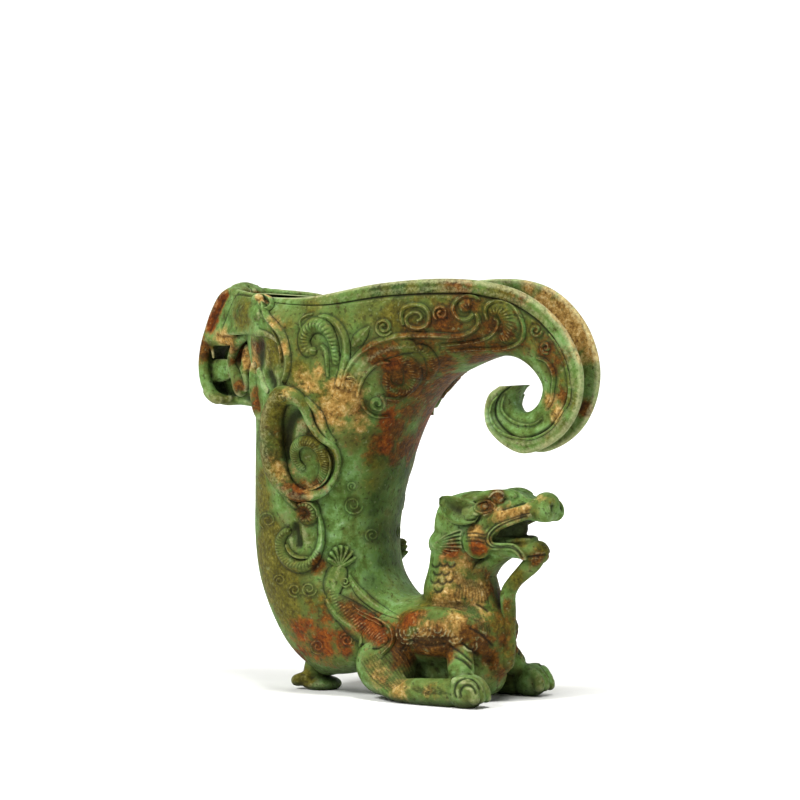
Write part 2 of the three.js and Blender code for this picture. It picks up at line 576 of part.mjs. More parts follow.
// The finished cup, every casting in its own patinated bronze
const cup = new THREE.Group();
function add(name, made, colour) {
  const material = new THREE.MeshStandardMaterial({ color: colour, roughness: 0.7, metalness: 0.5 });
  const mesh = new THREE.Mesh(geometryOf(made), material);
  mesh.name = name;
  cup.add(mesh);
}
const GREEN = 0x64804f;
const OLIVE = 0x77733c;
const BROWN = 0x8a6238;
const pairs = [
  ["upper_ring", ring, OLIVE],
  ["inner_curl", innerCurl, GREEN],
  ["lower_ring", lowerRing, OLIVE],
  ["brow_band", brow, OLIVE],
  ["wing", wing, BROWN],
  ["rear_hook", hook, OLIVE],
  ["ear", ear, GREEN],
  ["eye", eye, BROWN],
  ["foreleg", foreleg, GREEN],
  ["paw", paw, GREEN],
  ["haunch", haunch, BROWN],
];
add("horn_shell", hornCasting, GREEN);
add("curled_lip", lipCasting, GREEN);
add("cup_floor", cupFloor, OLIVE);
add("rear_strap", rearStrap, OLIVE);
add("rear_web", rearWeb, GREEN);
add("beast_torso", torso, BROWN);
add("beast_neck", neck, BROWN);
add("beast_head", head, GREEN);
add("lower_jaw", jaw, GREEN);
add("beard", beard, OLIVE);
add("rear_foot", rearFoot, OLIVE);
pairs.forEach(([name, made, colour]) => {
  add(`near_${name}`, made, colour);
  add(`far_${name}`, mirrored(made), colour);
});

// The frame's origin lies on the table under the middle of the whole cup
const { min, max } = new THREE.Box3().setFromObject(cup);
cup.children.forEach((mesh) => mesh.geometry.translate(-(min.x + max.x) / 2, 0, 0));

export default cup;
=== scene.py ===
import math

import bmesh
import bpy
import numpy as np
from mathutils import Matrix, Vector
from mathutils.bvhtree import BVHTree
from mathutils.kdtree import KDTree


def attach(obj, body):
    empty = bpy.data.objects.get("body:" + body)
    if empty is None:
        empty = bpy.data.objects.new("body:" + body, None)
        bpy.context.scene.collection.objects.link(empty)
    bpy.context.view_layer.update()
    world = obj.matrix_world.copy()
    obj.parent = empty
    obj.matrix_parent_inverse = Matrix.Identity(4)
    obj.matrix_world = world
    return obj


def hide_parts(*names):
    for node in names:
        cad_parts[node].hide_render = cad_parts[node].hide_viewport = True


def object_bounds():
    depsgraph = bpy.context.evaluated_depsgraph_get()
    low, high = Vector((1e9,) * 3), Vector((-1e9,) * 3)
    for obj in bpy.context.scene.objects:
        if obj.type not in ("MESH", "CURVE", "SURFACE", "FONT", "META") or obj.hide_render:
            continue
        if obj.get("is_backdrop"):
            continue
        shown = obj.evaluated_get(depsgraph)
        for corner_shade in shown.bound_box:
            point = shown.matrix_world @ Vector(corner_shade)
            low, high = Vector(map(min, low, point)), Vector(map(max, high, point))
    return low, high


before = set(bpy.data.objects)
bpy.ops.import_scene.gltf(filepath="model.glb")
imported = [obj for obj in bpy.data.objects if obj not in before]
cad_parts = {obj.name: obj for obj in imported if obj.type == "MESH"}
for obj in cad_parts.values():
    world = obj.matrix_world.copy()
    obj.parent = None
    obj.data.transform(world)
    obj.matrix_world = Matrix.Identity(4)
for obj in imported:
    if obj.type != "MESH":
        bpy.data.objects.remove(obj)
cad_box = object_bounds()
bpy.context.scene.view_settings.view_transform = "Standard"

# Place of the viewer: level with the rim, a third of the way from the side round to the front. Lines of the
# ornament are given as the viewer sees them, in a square view, and are laid on the casting from here.
MM = 0.001
VIEW_SIZE = 800
MIDDLE = Vector((0.0017234, 0, 0))
VIEW_FROM = Vector((0.6624, -1.0601, 0.145)) + MIDDLE
VIEW_AT = Vector((0, 0, 0.1044)) + MIDDLE
VIEW_FOCUS = 3537.5
viewer = bpy.data.objects.new("viewer", bpy.data.cameras.new("viewer"))
viewer.data.sensor_width = 36
viewer.data.lens = viewer.data.sensor_width * VIEW_FOCUS / VIEW_SIZE
viewer.data.clip_end = 20
viewer.location = VIEW_FROM
look = (VIEW_AT - VIEW_FROM).to_track_quat("-Z", "Y")
viewer.rotation_euler = look.to_euler()
bpy.context.scene.collection.objects.link(viewer)
bpy.context.scene.camera = viewer


def sight(x, y):
    """The way from the viewer through a place of the view"""
    return (look @ Vector((x - VIEW_SIZE / 2, VIEW_SIZE / 2 - y, -VIEW_FOCUS))).normalized()


# Horn: a thin-walled bronze casting, leaning forward, closed below and open along the top as a leaf-shaped
# mouth, whose front runs out into a trough and rolls up. The wall is one skin: outside, rounded rim and inside.
# Each row holds, in millimetres, keel x and z, back x and z and half width, then how much of the oval is wall.
HORN = [
    (8, 16, -10, 9, 9, 1), (13, 22, -19, 6.6, 16.5, 1), (13, 28.6, -26.6, 6, 19.6, 1),
    (10, 34, -33, 7.5, 21, 1), (6, 35.5, -42, 14.5, 22.8, 1), (1.5, 38.5, -49, 26, 24.8, 1),
    (-3, 44.5, -54.4, 41, 26, 1), (-4.7, 56, -56.3, 56, 26.4, 1), (-3, 69, -56.1, 69, 27.2, 1),
    (0.5, 82, -55.6, 82, 28.8, 1), (5.5, 95, -55, 96, 31, 1), (12, 105, -56.5, 112, 32, 1),
    (18.5, 111, -60, 127, 32, 1), (23.5, 113.8, -64, 139, 31, 1), (24.5, 114.3, -65.5, 142.2, 31, 1),
    (27.5, 115.5, -61, 141.8, 31, 0.965), (31, 117, -45, 140.7, 31, 0.89), (35, 118.5, -20, 140.6, 30.5, 0.72),
    (39, 119.7, 8, 145, 28, 0.63), (42.5, 120.4, 30, 146.5, 23, 0.58), (45.5, 120.4, 44, 145.5, 17.7, 0.56),
    (49, 119.6, 55, 142.5, 13.6, 0.55), (53, 117.3, 64.5, 136.5, 11, 0.55), (56.5, 113.8, 71.8, 128, 9.2, 0.55),
    (58.4, 110, 76.2, 117, 7.4, 0.55), (58, 106.8, 76, 108, 6.6, 0.55), (56.5, 104, 73, 100, 6.2, 0.55),
    (54.3, 102, 68, 94, 6.2, 0.55), (52, 101.2, 60.3, 89.4, 6.4, 0.55), (50.3, 101.7, 53, 87.9, 6.8, 0.55),
    (49.2, 102.9, 45.8, 91, 7.4, 0.55), (48.6, 104.6, 40.6, 96.5, 8, 0.55), (48.5, 106.5, 40, 102, 8.6, 0.55),
    (49.2, 108.3, 42, 107.3, 8.8, 0.55), (50.5, 110.5, 46, 110.2, 8.6, 0.55),
]
CLOSED_END = 14
HORN_WALL = 3.0
LIP_WALL = 2.4
RIM_COLUMNS = np.array([0, 0.5, 1.2, 2.2, 3.2, 3.8, 4.15, 4.4, 4.65, 4.9, 5.15, 5.5, 6.4])
WALL_COLUMNS = 64
INSIDE_COLUMNS = 30
RIM_GROOVE = 4.65
MERGE_WITHIN = 2e-6


def smooth_line(points, at, loop=False):
    """The smooth curve through the points, at places counted in points"""
    p = np.array(points, float)
    last = len(p) - 1
    p = np.vstack([p[-2], p, p[1]]) if loop else np.vstack([2 * p[0] - p[1], p, 2 * p[-1] - p[-2]])
    at = np.clip(np.asarray(at, float), 0, last)
    i = np.minimum(at.astype(int), last - 1)
    w = (at - i)[:, None]
    a, b, c, d = p[i], p[i + 1], p[i + 2], p[i + 3]
    pace = [np.maximum(np.linalg.norm(n - m, axis=1), 1e-9)[:, None] ** 0.5
            for m, n in ((a, b), (b, c), (c, d))]
    leave = ((b - a) / pace[0] - (c - a) / (pace[0] + pace[1]) + (c - b) / pace[1]) * pace[1]
    reach = ((c - b) / pace[1] - (d - b) / (pace[1] + pace[2]) + (d - c) / pace[2]) * pace[1]
    return b + w * (leave + w * (3 * (c - b) - 2 * leave - reach + w * (2 * (b - c) + leave + reach)))


def lengths(line):
    """The way along a line of points to each of them"""
    return np.concatenate([[0], np.cumsum(np.linalg.norm(np.diff(line, axis=0), axis=1))])


horn_rows = np.array(HORN, float)


def horn_oval(section, grow):
    """One oval of the horn: its keel, the way to its back, radius, half width, rim angle and growth in mm"""
    at = np.array([section])
    keel = smooth_line(horn_rows[:, 0:2], at)[0]
    back = smooth_line(horn_rows[:, 2:4], at)[0]
    half, share = smooth_line(horn_rows[:, 4:6], at)[0]
    depth = np.linalg.norm(back - keel)
    out = (back - keel) / depth
    radius = depth / min(share, 1) / 2
    shrink = min(grow, 0)
    turn = 1 - (depth + shrink) / (radius + shrink)
    limit = math.pi if section <= CLOSED_END else min(math.acos(max(-1, min(1, turn))), math.pi - 0.02)
    return keel, out, radius + grow, half + grow, limit, grow


def horn_places(oval, angle):
    """Places on the oval at angles from its keel"""
    keel, out, radius, half, _, grow = oval
    along = radius * (1 - np.cos(angle)) - grow
    return np.stack([keel[0] + out[0] * along, half * np.sin(angle), keel[1] + out[1] * along], -1)


fine = np.linspace(0, len(HORN) - 1, 6001)
keel_line = smooth_line(horn_rows[:, 0:2], fine)
back_line = smooth_line(horn_rows[:, 2:4], fine)
stride = np.maximum(
    np.linalg.norm(np.diff(keel_line, axis=0), axis=1), np.linalg.norm(np.diff(back_line, axis=0), axis=1)
)
spacing = np.where(fine[1:] < 20, 1.0, 0.62)
count = np.concatenate([[0], np.cumsum(stride / spacing)])
sections = np.interp(np.arange(int(count[-1]) + 1), count, fine)
sections[-1] = len(HORN) - 1
sections[np.abs(sections - CLOSED_END).argmin()] = CLOSED_END

rings = []
groove_rings = []
for section in sections:
    wall = np.interp(section, [19, 21], [HORN_WALL, LIP_WALL])
    oval = horn_oval(section, 0)
    inner = horn_oval(section, -wall)
    angle = np.linspace(oval[4], 0, 161)
    places = horn_places(oval, angle)
    reach = lengths(places)
    stretch = np.interp(section, [17, 19.5], [1.6, 1])
    away = RIM_COLUMNS * stretch
    away = np.concatenate([away, np.linspace(away[-1], reach[-1], WALL_COLUMNS + 1)[1:]])
    angle = np.interp(away, reach, angle)
    open_share = np.clip((section - CLOSED_END) / 0.7, 0, 1)
    groove = np.exp(-(((away - RIM_GROOVE * stretch) / 0.55) ** 2)) * open_share
    band = np.exp(-(((away / stretch - 2.2) / 1.5) ** 2)) * open_share
    lip = np.exp(-(((away - RIM_GROOVE * stretch - 1.3) / 0.7) ** 2)) * open_share * 0.4
    near = horn_places(oval, -angle)
    facing = near - horn_places(horn_oval(section, -1), -angle * inner[4] / oval[4])
    facing /= np.linalg.norm(facing, axis=1)[:, None] + 1e-9
    near = near + facing * (band * 0.6 + lip * 0.35 - groove * 0.85)[:, None]
    far = near[::-1][1:] * [1, -1, 1]
    inside = horn_places(inner, np.linspace(inner[4], -inner[4], INSIDE_COLUMNS + 1))
    bulge = np.concatenate([oval[1][:1], [0], oval[1][1:]]) * 0.9 * open_share
    blend = np.array([0.12, 0.35, 0.65, 0.88])
    swell = np.sin(math.pi * blend)[:, None] ** 0.6
    rim_far = far[-1] + (inside[0] - far[-1]) * blend[:, None] + bulge * swell
    rim_near = inside[-1] + (near[0] - inside[-1]) * blend[:, None] + bulge * swell
    rings.append(np.concatenate([near, far, rim_far, inside, rim_near, near[:1]]))
    edge = np.exp(-((away / 0.9) ** 2)) * open_share
    half = np.stack([groove, np.maximum(edge, lip * 1.4)], -1)
    rim = np.tile([0, open_share], (4, 1))
    # Painted shade: the inside of the horn is marked a quarter dark
    inside_shade = np.tile([0.25, 0], (INSIDE_COLUMNS + 1, 1))
    groove_rings.append(np.concatenate([half, half[::-1][1:], rim, inside_shade, rim, half[:1]]))
horn_net = np.array(rings)
horn_wear_and_shade = np.array(groove_rings)


def netted(bm, net, wear_and_shade=None):
    """A flat grid of faces in the mesh, bent to the places of the net's knots, in millimetres"""
    rows, columns = net.shape[:2]
    # Marks: one dark, dirt in cuts and painted shade in hollows and corners, and one for rubbed edges
    marks = [bm.verts.layers.float.get(n) or bm.verts.layers.float.new(n) for n in ("recess_dirt_and_shade", "edge")]
    made = bmesh.ops.create_grid(bm, x_segments=columns - 1, y_segments=rows - 1, size=0.5)["verts"]
    wear_and_shade = np.zeros((rows * columns, 2)) if wear_and_shade is None else wear_and_shade.reshape(-1, 2)
    for vertex, place, worn_and_shaded in zip(made, net.reshape(-1, 3) * MM, wear_and_shade):
        vertex.co = Vector(place) + MIDDLE
        vertex[marks[0]] = worn_and_shaded[0]
        vertex[marks[1]] = worn_and_shaded[1]


def placed(name, bm):
    """The mesh as a piece of the scene, its doubles merged and its faces turned outward"""
    bmesh.ops.remove_doubles(bm, verts=bm.verts, dist=MERGE_WITHIN)
    bmesh.ops.recalc_face_normals(bm, faces=bm.faces)
    mesh = bpy.data.meshes.new(name)
    bm.to_mesh(mesh)
    bm.free()
    mesh.polygons.foreach_set("use_smooth", [True] * len(mesh.polygons))
    piece = bpy.data.objects.new(name, mesh)
    bpy.context.scene.collection.objects.link(piece)
    return piece


bm = bmesh.new()
netted(bm, horn_net, horn_wear_and_shade)
columns = horn_net.shape[1] - 1
outside = 2 * (len(RIM_COLUMNS) + WALL_COLUMNS) - 2
closed_rows = int(np.searchsorted(sections, CLOSED_END))
rim_columns = list(range(outside, outside + 5)) + list(range(columns - 5, columns))
bm.faces.ensure_lookup_table()
web = [bm.faces[row * columns + column] for row in range(closed_rows) for column in rim_columns]
bmesh.ops.delete(bm, geom=web, context="FACES")
bmesh.ops.remove_doubles(bm, verts=bm.verts, dist=MERGE_WITHIN)
foot_z = [(horn_net[0, :, 2].min() - 0.1) * MM, (horn_net[0, :, 2].max() + 0.1) * MM]
open_edges = [e for e in bm.edges if e.is_boundary]
foot = [e for e in open_edges if all(v.co.z < foot_z[1] for v in e.verts)]
tip = [e for e in open_edges if all(v.co.z > 0.08 for v in e.verts)]
bmesh.ops.bridge_loops(bm, edges=foot)
bmesh.ops.edgeloop_fill(bm, edges=tip)
horn = placed("horn_wall", bm)
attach(horn, "root")
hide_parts("horn_shell", "curled_lip")

# Beast's trunk, neck and limbs: one bronze casting that lies under the horn, with its forelegs stretched out on
# the table. The forms are swelled tubes run together in the mould; hair, scales and toes are cut in the skin.
def unit(ways):
    """Ways of length one"""
    return ways / np.linalg.norm(ways, axis=1)[:, None]


def limb(bm, stations, across=(0, 1, 0)):
    """A tube through stations of x, y, z, half width and half height, with round ends, and its twin opposite"""
    stations = np.array(stations, float)
    fine = smooth_line(stations, np.linspace(0, len(stations) - 1, 30 * len(stations)))
    run = lengths(fine[:, :3])
    at = run[-1] * (0.5 - 0.5 * np.cos(np.linspace(0, math.pi, max(12, int(run[-1] / 0.7)))))
    row = np.stack([np.interp(at, run, c) for c in fine.T], -1)
    end = np.minimum(at / row[0, 3:].min(), (run[-1] - at) / row[-1, 3:].min())
    full = np.sqrt(1 - (1 - np.clip(end, 0, 1)) ** 2)[:, None, None]
    along = unit(np.gradient(row[:, :3], axis=0))
    side = unit(across - (along @ np.array(across, float))[:, None] * along)
    up = np.cross(along, side)
    turn = np.linspace(0, 2 * math.pi, 29)[None, :, None]
    swell = np.cos(turn) * (side * row[:, 3:4])[:, None] + np.sin(turn) * (up * row[:, 4:5])[:, None]
    net = row[:, None, :3] + full * swell
    netted(bm, net)
    if np.abs(row[:, 1]).max() > 0.01:
        netted(bm, net * [1, -1, 1])


def lump(bm, place, radii):
    """An egg at the place and its twin opposite, or one egg on the middle plane"""
    for side in sorted({place[1], -place[1]}):
        at = Matrix.Translation(Vector((place[0], side, place[2])) * MM + MIDDLE)
        size = Matrix.Diagonal([r * MM for r in radii] + [1])
        bmesh.ops.create_uvsphere(bm, u_segments=32, v_segments=20, radius=1, matrix=at @ size)


TABLE_GAP = 0.00005


def cast_as_one(name, bm, grain, soften):
    """The overlapping forms in the mesh run into one skin, with a grain in mm, standing on the table"""
    piece = placed(name, bm)
    union = piece.modifiers.new("union", "REMESH")
    union.mode = "VOXEL"
    union.voxel_size = grain * MM
    soft = piece.modifiers.new("soft", "SMOOTH")
    soft.factor = 0.5
    soft.iterations = soften
    bpy.context.view_layer.update()
    ready = piece.evaluated_get(bpy.context.evaluated_depsgraph_get())
    mesh = bpy.data.meshes.new_from_object(ready)
    piece.modifiers.clear()
    rough = piece.data
    piece.data = mesh
    bpy.data.meshes.remove(rough)
    mesh.name = name
    for vertex in mesh.vertices:
        vertex.co.z = max(vertex.co.z, TABLE_GAP)
    mesh.polygons.foreach_set("use_smooth", [True] * len(mesh.polygons))
    return piece


def drawn(path, step, loop=False):
    """Even points, a step apart, on the smooth line through the path"""
    path = np.array(list(path) + list(path[:1]) if loop else path, float)
    fine = smooth_line(path, np.linspace(0, len(path) - 1, 40 * len(path)), loop)
    run = lengths(fine)
    at = np.linspace(0, run[-1], max(4, int(run[-1] / step) + 1))
    return np.stack([np.interp(at, run, c) for c in fine.T], -1)


def skin(*pieces):
    """The pieces' faces, to lay lines on"""
    places, faces = [], []
    for piece in pieces:
        faces += [[len(places) + v for v in polygon.vertices] for polygon in piece.data.polygons]
        places += [v.co.copy() for v in piece.data.vertices]
    return BVHTree.FromPolygons(places, faces)


def eased(values, reach, loop):
    """Values along a line, each the mean of its neighbours within the reach"""
    padded = np.pad(values, ((reach, reach), (0, 0)), mode="wrap" if loop else "edge")
    weight = np.hanning(2 * reach + 3)[1:-1]
    return np.stack([np.convolve(c, weight / weight.sum(), "valid") for c in padded.T], -1)


LONGEST_STEP = 3.2


def pressed(path, carrier, loop=False):
    """The path in the view, laid on the carrier from the viewer: places in mm and the skin's facing"""
    place, facing = [], []
    for x, y in drawn(path, 1.0, loop):
        ray = sight(x, y)
        hit, normal, _, _ = carrier.ray_cast(VIEW_FROM, ray)
        if hit:
            place.append((hit - MIDDLE) / MM)
            facing.append(normal if normal.dot(ray) < 0 else -normal)
    place, facing = np.array(place), np.array(facing)
    breaks = np.flatnonzero(np.linalg.norm(np.diff(place, axis=0), axis=1) > LONGEST_STEP) + 1
    run = max(np.split(np.arange(len(place)), breaks), key=len)
    place, facing = place[run], facing[run]
    loop = loop and len(breaks) == 0
    if loop:
        place, facing = eased(place[:-1], 2, True), eased(facing[:-1], 6, True)
        return np.vstack([place, place[:1]]), np.vstack([facing, facing[:1]])
    return eased(place, 2, False), eased(facing, 6, False)


def mark(piece, name, amount):
    """Raises a mark of the piece, one number for each of its points, to the amount"""
    kept = piece.data.attributes.get(name) or piece.data.attributes.new(name, "FLOAT", "POINT")
    values = np.zeros(len(piece.data.vertices))
    kept.data.foreach_get("value", values)
    kept.data.foreach_set("value", np.maximum(values, amount))


def nearest(piece, places):
    """How far each point of the piece lies from the nearest of the places, in millimetres"""
    tree = KDTree(len(places))
    for i, place in enumerate(places):
        tree.insert(place, i)
    tree.balance()
    return np.array([tree.find(v.co)[2] for v in piece.data.vertices]) / MM


def carve(piece, carrier, paths, width, depth):
    """Cuts lines in the skin, or raises them where the depth is below zero, on both sides, and marks them"""
    line = np.concatenate([pressed(path, carrier)[0] for path in paths])
    away = nearest(piece, [Vector(p * MM) + MIDDLE for p in np.vstack([line, line * [1, -1, 1]])])
    mesh = piece.data
    cut = np.exp(-((away / width) ** 2))
    for vertex, normal, share in zip(mesh.vertices, [n.vector.copy() for n in mesh.vertex_normals], cut):
        if share > 0.01:
            vertex.co -= normal * (share * depth * MM)
    mark(piece, "recess_dirt_and_shade" if depth > 0 else "edge", cut * min(1 if depth > 0 else 0.5, abs(depth) / 0.45))
    mesh.update()


bm = bmesh.new()
TRUNK = [
    [(-24, 0, 13, 6, 4), (-15, 0, 17, 12, 8), (-6, 0, 20, 18.5, 12), (6, 0, 22.5, 20, 13),
     (16, 0, 23.5, 19, 13), (26, 0, 23.5, 17, 13), (34, 0, 22, 15, 13),
     (39, 0, 19.5, 11, 12.2), (43.4, 0, 17, 6.4, 9.6)],
    [(-16, 0, 9, 8, 5), (-4, 0, 10, 11.6, 8.6), (10, 0, 10, 11, 9.2),
     (26, 0, 10, 10.8, 9.2), (36, 0, 11, 12, 9.6), (42, 0, 12, 8, 8.5)],
    [(23.5, 0, 26, 16, 17), (24.6, 0, 36, 13.2, 14), (25.4, 0, 46, 11.3, 11.6), (25.6, 0, 60, 10.4, 11)],
    [(30.6, 0, 50, 7, 5.6), (33.2, 0, 39, 8.6, 6), (35.8, 0, 28, 10, 6.8), (36.4, 0, 16, 9.6, 6.6)],
    [(10, -13.5, 22, 5, 6), (18, -15.4, 24.6, 6, 8.2), (28, -14.8, 24.6, 6.2, 8.8),
     (35, -11.4, 23.2, 5.2, 7.8), (38.6, -8, 20, 3.6, 5.4)],
    [(31.5, -12, 25, 5, 5), (33.6, -14.8, 17.4, 4.3, 4.8), (37.6, -19.6, 8.4, 4.6, 4.8)],
    [(35, -19.6, 10.6, 1.5, 2.2), (38, -18.6, 12, 1.1, 1.7), (40.6, -17, 13.4, 0.8, 1)],
    [(40.4, 0, 33, 4.4, 2.8), (41.2, 0, 26, 4.8, 3.2), (41.4, 0, 17, 5.4, 3.4), (40, 0, 9, 6, 4)],
    [(12, -20.6, 4, 4, 4), (20, -21.6, 4.4, 4.6, 4.6), (32, -22, 4.6, 5, 5), (39, -22, 4.8, 5.2, 5.2)],
]
for stations in TRUNK:
    limb(bm, stations)
lump(bm, (40.6, -22, 5.4), (6.6, 6.2, 6))
for toe in (-26, -22.2, -18.4):
    limb(bm, [(37, toe, 9, 1.9, 1.9), (42.4, toe, 9, 2, 2), (45.6, toe, 6, 2, 2), (46.4, toe, 1.6, 1.9, 1.9)])
limb(bm, [(-35, 0, 8.5, 7.6, 5.4), (-27, 0, 12, 11, 6.4), (-18, 0, 14, 14, 8)])
lump(bm, (4, -15.6, 12.6), (11.6, 7.8, 11.4))
limb(bm, [(-1, -15.6, 14, 6, 8), (5, -18.4, 9.6, 5.4, 7.6),
          (11, -20.6, 5.6, 4.6, 5.2), (17, -22, 3.4, 3.6, 3.4), (21, -22.4, 2.6, 2.6, 2.4)])
body = cast_as_one("beast_body", bm, 0.5, 5)
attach(body, "root")
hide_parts("beast_torso", "beast_neck", "near_foreleg",
            "far_foreleg", "near_paw", "far_paw", "near_haunch", "far_haunch")

hide = skin(body)


def arc(x, y, radius, start, end):
    """An arc in the view, from one angle to another"""
    turn = np.radians(np.linspace(start, end, 9))
    return [(x + radius * math.cos(t), y + radius * math.sin(t)) for t in turn]


haunch_hair = [[(361 + 2.7 * k, 662 - 1.4 * k), (371 + 2.9 * k, 677 - 1.8 * k), (388 + 2.2 * k, 692 - 1.5 * k)]
               for k in range(13)]
chest_hair = [[(476 + 2.6 * k, 619 + k), (478 + 2.4 * k, 628 + k)] for k in range(6)]
neck_hair = [[(452 + 3 * k, 570 + 1.5 * k), (457 + 3 * k, 584 + k), (455 + 3.4 * k, 598 + 0.6 * k)]
             for k in range(11)]
neck_hair += [[(448 + 3 * k, 602), (455 + 3 * k, 607 + 0.8 * k),
               (460 + 3 * k, 616 + 0.8 * k)] for k in range(9)]
flank_hair = [[(402 + 3.4 * k, 651 - 0.4 * k), (407 + 3.4 * k, 642 - 0.2 * k), (416 + 3.4 * k, 637)]
              for k in range(13)]
arm_hair = [[(412 + 5 * k, 688 - k % 2), (418 + 5 * k, 692), (426 + 5 * k, 694 + k % 2)] for k in range(6)]
neck_scales = [arc(x, y, 4.2, 10, 170) for x, y in ((435, 563), (443, 562), (451, 563), (437, 571), (445, 571),
                                                    (434, 579), (442, 580), (438, 588), (449, 578))]
arm_sinews = [[(450, 646), (462, 653), (477, 666)], [(455, 657), (464, 661), (472, 669)],
              [(462, 643), (470, 649), (478, 656)], [(470, 628), (481, 634), (493, 646)],
              [(476, 604), (482, 607), (488, 611)], [(410, 640), (425, 646), (445, 644)]]
paw_folds = [arc(467, 691, 13, 150, 350), arc(468, 693, 8, 150, 360)]
body_hair = haunch_hair + chest_hair + neck_hair + flank_hair + arm_hair
carve(body, hide, body_hair, 0.42, 0.32)
carve(body, hide, neck_scales + arm_sinews + paw_folds, 0.55, 0.55)
SHOULDER_CURLS = [(408, 632, -20, 200, (3.5, 7.5, 11.5)), (421, 629, -10, 190, (3.5, 7, 10.5)),
                  (438, 629, 0, 180, (4, 8.5)), (455, 636, 20, 230, (3.5, 7)), (470, 645, -20, 200, (3, 6.5))]
shoulder_curls = [arc(x, y, r, start, end) for x, y, start, end, radii in SHOULDER_CURLS for r in radii]
carve(body, hide, shoulder_curls, 0.5, -0.55)

# Beast's head: cast with the neck, jaws open, a bulbous nose, round cheeks and a mane combed back behind them.
# The lips are double bands; the tongue lies on the lower jaw, and the throat behind it is closed.
bm = bmesh.new()
HEAD = [(15.8, 66, 57, 4.4), (19, 70, 52.4, 8), (24.6, 72, 50.6, 10), (32, 73.4, 51, 10.4), (38, 74.2, 54, 10),
        (44, 74.4, 61.6, 8.8), (50, 73.2, 63, 7.2), (55.2, 71.2, 63.4, 5.6),
        (59.4, 72.4, 63.6, 5.2), (63, 70.6, 64.6, 4)]
JAW = [(34, 56.4, 50, 6), (40, 55.8, 50, 7), (47, 55.6, 50.4, 6.6),
       (52.6, 56.4, 49.6, 5.6), (57, 56.8, 48.6, 4.8), (60.4, 55.6, 50.4, 3.4)]
for rows in (HEAD, JAW):
    limb(bm, [(x, 0, (top + low) / 2, half, (top - low) / 2) for x, top, low, half in rows])
HEAD_LUMPS = [((59.6, 0, 68.8), (4.9, 5.2, 4.9)), ((61, -3.4, 67.2), (3.6, 3, 3.9)),
              ((58.8, 0, 65.4), (5, 4.6, 2.3)), ((37, -8, 56), (5.8, 4.2, 5.8)),
              ((24, 0, 54.6), (10, 11.6, 7)), ((44.4, -7.4, 71.4), (2.4, 1.9, 1.9))]
for place, radii in HEAD_LUMPS:
    lump(bm, place, radii)
FACE_FORMS = [
    [(35, -7.6, 70.6, 1.8, 1.6), (40, -7.8, 72.4, 1.8, 1.6),
     (46, -6.6, 73, 1.7, 1.5), (51, -5, 71.8, 1.4, 1.2)],
    [(41, -8.6, 62.6, 1.6, 1.7), (45.4, -8.2, 65.4, 1.7, 1.8),
     (50, -7, 67, 1.7, 1.7), (55.4, -5.6, 68, 1.5, 1.4)],
    [(57.4, -5, 66.2, 1.4, 1.2), (53, -6.4, 65, 1.7, 1.5), (48, -7.5, 63.2, 1.8, 1.6),
     (43.9, -8.3, 61.1, 1.8, 1.6), (41.7, -8.7, 59, 1.8, 1.6), (40.9, -8.9, 57.2, 1.8, 1.6),
     (41.4, -8.7, 55.6, 1.8, 1.5), (43.2, -8.3, 54.8, 1.7, 1.4), (46.4, -7.6, 54.7, 1.7, 1.4),
     (50, -6.9, 54.6, 1.7, 1.4), (52.6, -6.3, 53, 1.7, 1.4), (54.6, -5.2, 50.4, 1.6, 1.4)],
    [(37, 0, 60, 4.4, 4.6), (45, 0, 60.6, 3.2, 4), (52, 0, 61.4, 2.4, 3.2)],
    [(47, 0, 52.8, 4, 1.8), (42.4, 0, 51.2, 5.2, 2.4), (37.2, 0, 47.8, 7, 3), (31.6, 0, 41, 8, 4.6)],
    [(38, 0, 55.8, 6, 2.4), (47, 0, 56.2, 5, 2), (55.4, 0, 57.2, 3.6, 1.5)],
]
for stations in FACE_FORMS:
    limb(bm, stations)
head = cast_as_one("head_casting", bm, 0.4, 4)
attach(head, "root")
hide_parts("beast_head", "lower_jaw")
face = skin(head)
mane_ends = np.linspace(529.5, 559.5, 8)
mane_hair = [[(433, 546), (446, 546 + (end - 546) * 0.62), (461, end)] for end in mane_ends]
mane_combing = [[(435, 546), (446, 546 + (end - 546) * 0.62), (461, end)] for end in mane_ends[:-1] + 2.15]
cheek_hair = [[(466, 533.5), (475, 533), (486, 535)], [(465.5, 537.5), (475, 537), (485, 539)],
              [(465, 541.5), (475, 541), (484, 543)], [(441, 556), (455, 560), (470, 562)]]
lips = [[(529, 512.5), (510, 518.5), (497, 523.5), (489, 530), (485.5, 537), (486.5, 543.5), (491, 547.5),
         (500, 548), (510, 548), (517, 551), (522, 558)],
        [(526, 516), (510, 521.5), (499, 527), (492, 533), (490, 539), (493, 544.5), (500, 546), (510, 545.5),
         (516, 548), (521, 555)], [(502, 509.5), (513, 506.5), (525, 502.5)],
        [(528, 557), (537, 556), (546, 555)]]
carve(head, face, mane_hair, 0.45, -0.5)
carve(head, face, mane_combing + cheek_hair, 0.42, 0.4)
carve(head, face, lips, 0.45, 0.55)
carve(head, face, ([(462, 531), (461, 540), (462, 548), (466, 556), (471, 560)],
                   [(509, 489.5), (518, 493), (527, 499.5), (536, 500)],
                   [(474, 514), (482, 515.5), (492, 512.5), (500, 507)],
                   [(489, 497), (494, 493), (500, 492), (504, 496), (500, 501)]), 0.6, -0.55)
# A groove under each ear's lower edge, its dark mark painted shade under the ear
carve(head, face, [[(450, 516), (458, 522), (468, 524), (477, 520), (481, 515)]], 0.9, 1.0)
carve(head, face, [[(553.5, 506), (554, 510)]], 1.2, 1.6)
head_points = [(v.co - MIDDLE) / MM for v in head.data.vertices]
# Painted shade: the inside of the open mouth, above the tongue, is marked dark
mouth_shade = np.array([42.6 < x < 55 and abs(y) < 6 and 57.6 < z < 64 for x, y, z in head_points])
mark(head, "recess_dirt_and_shade", mouth_shade * 0.9)
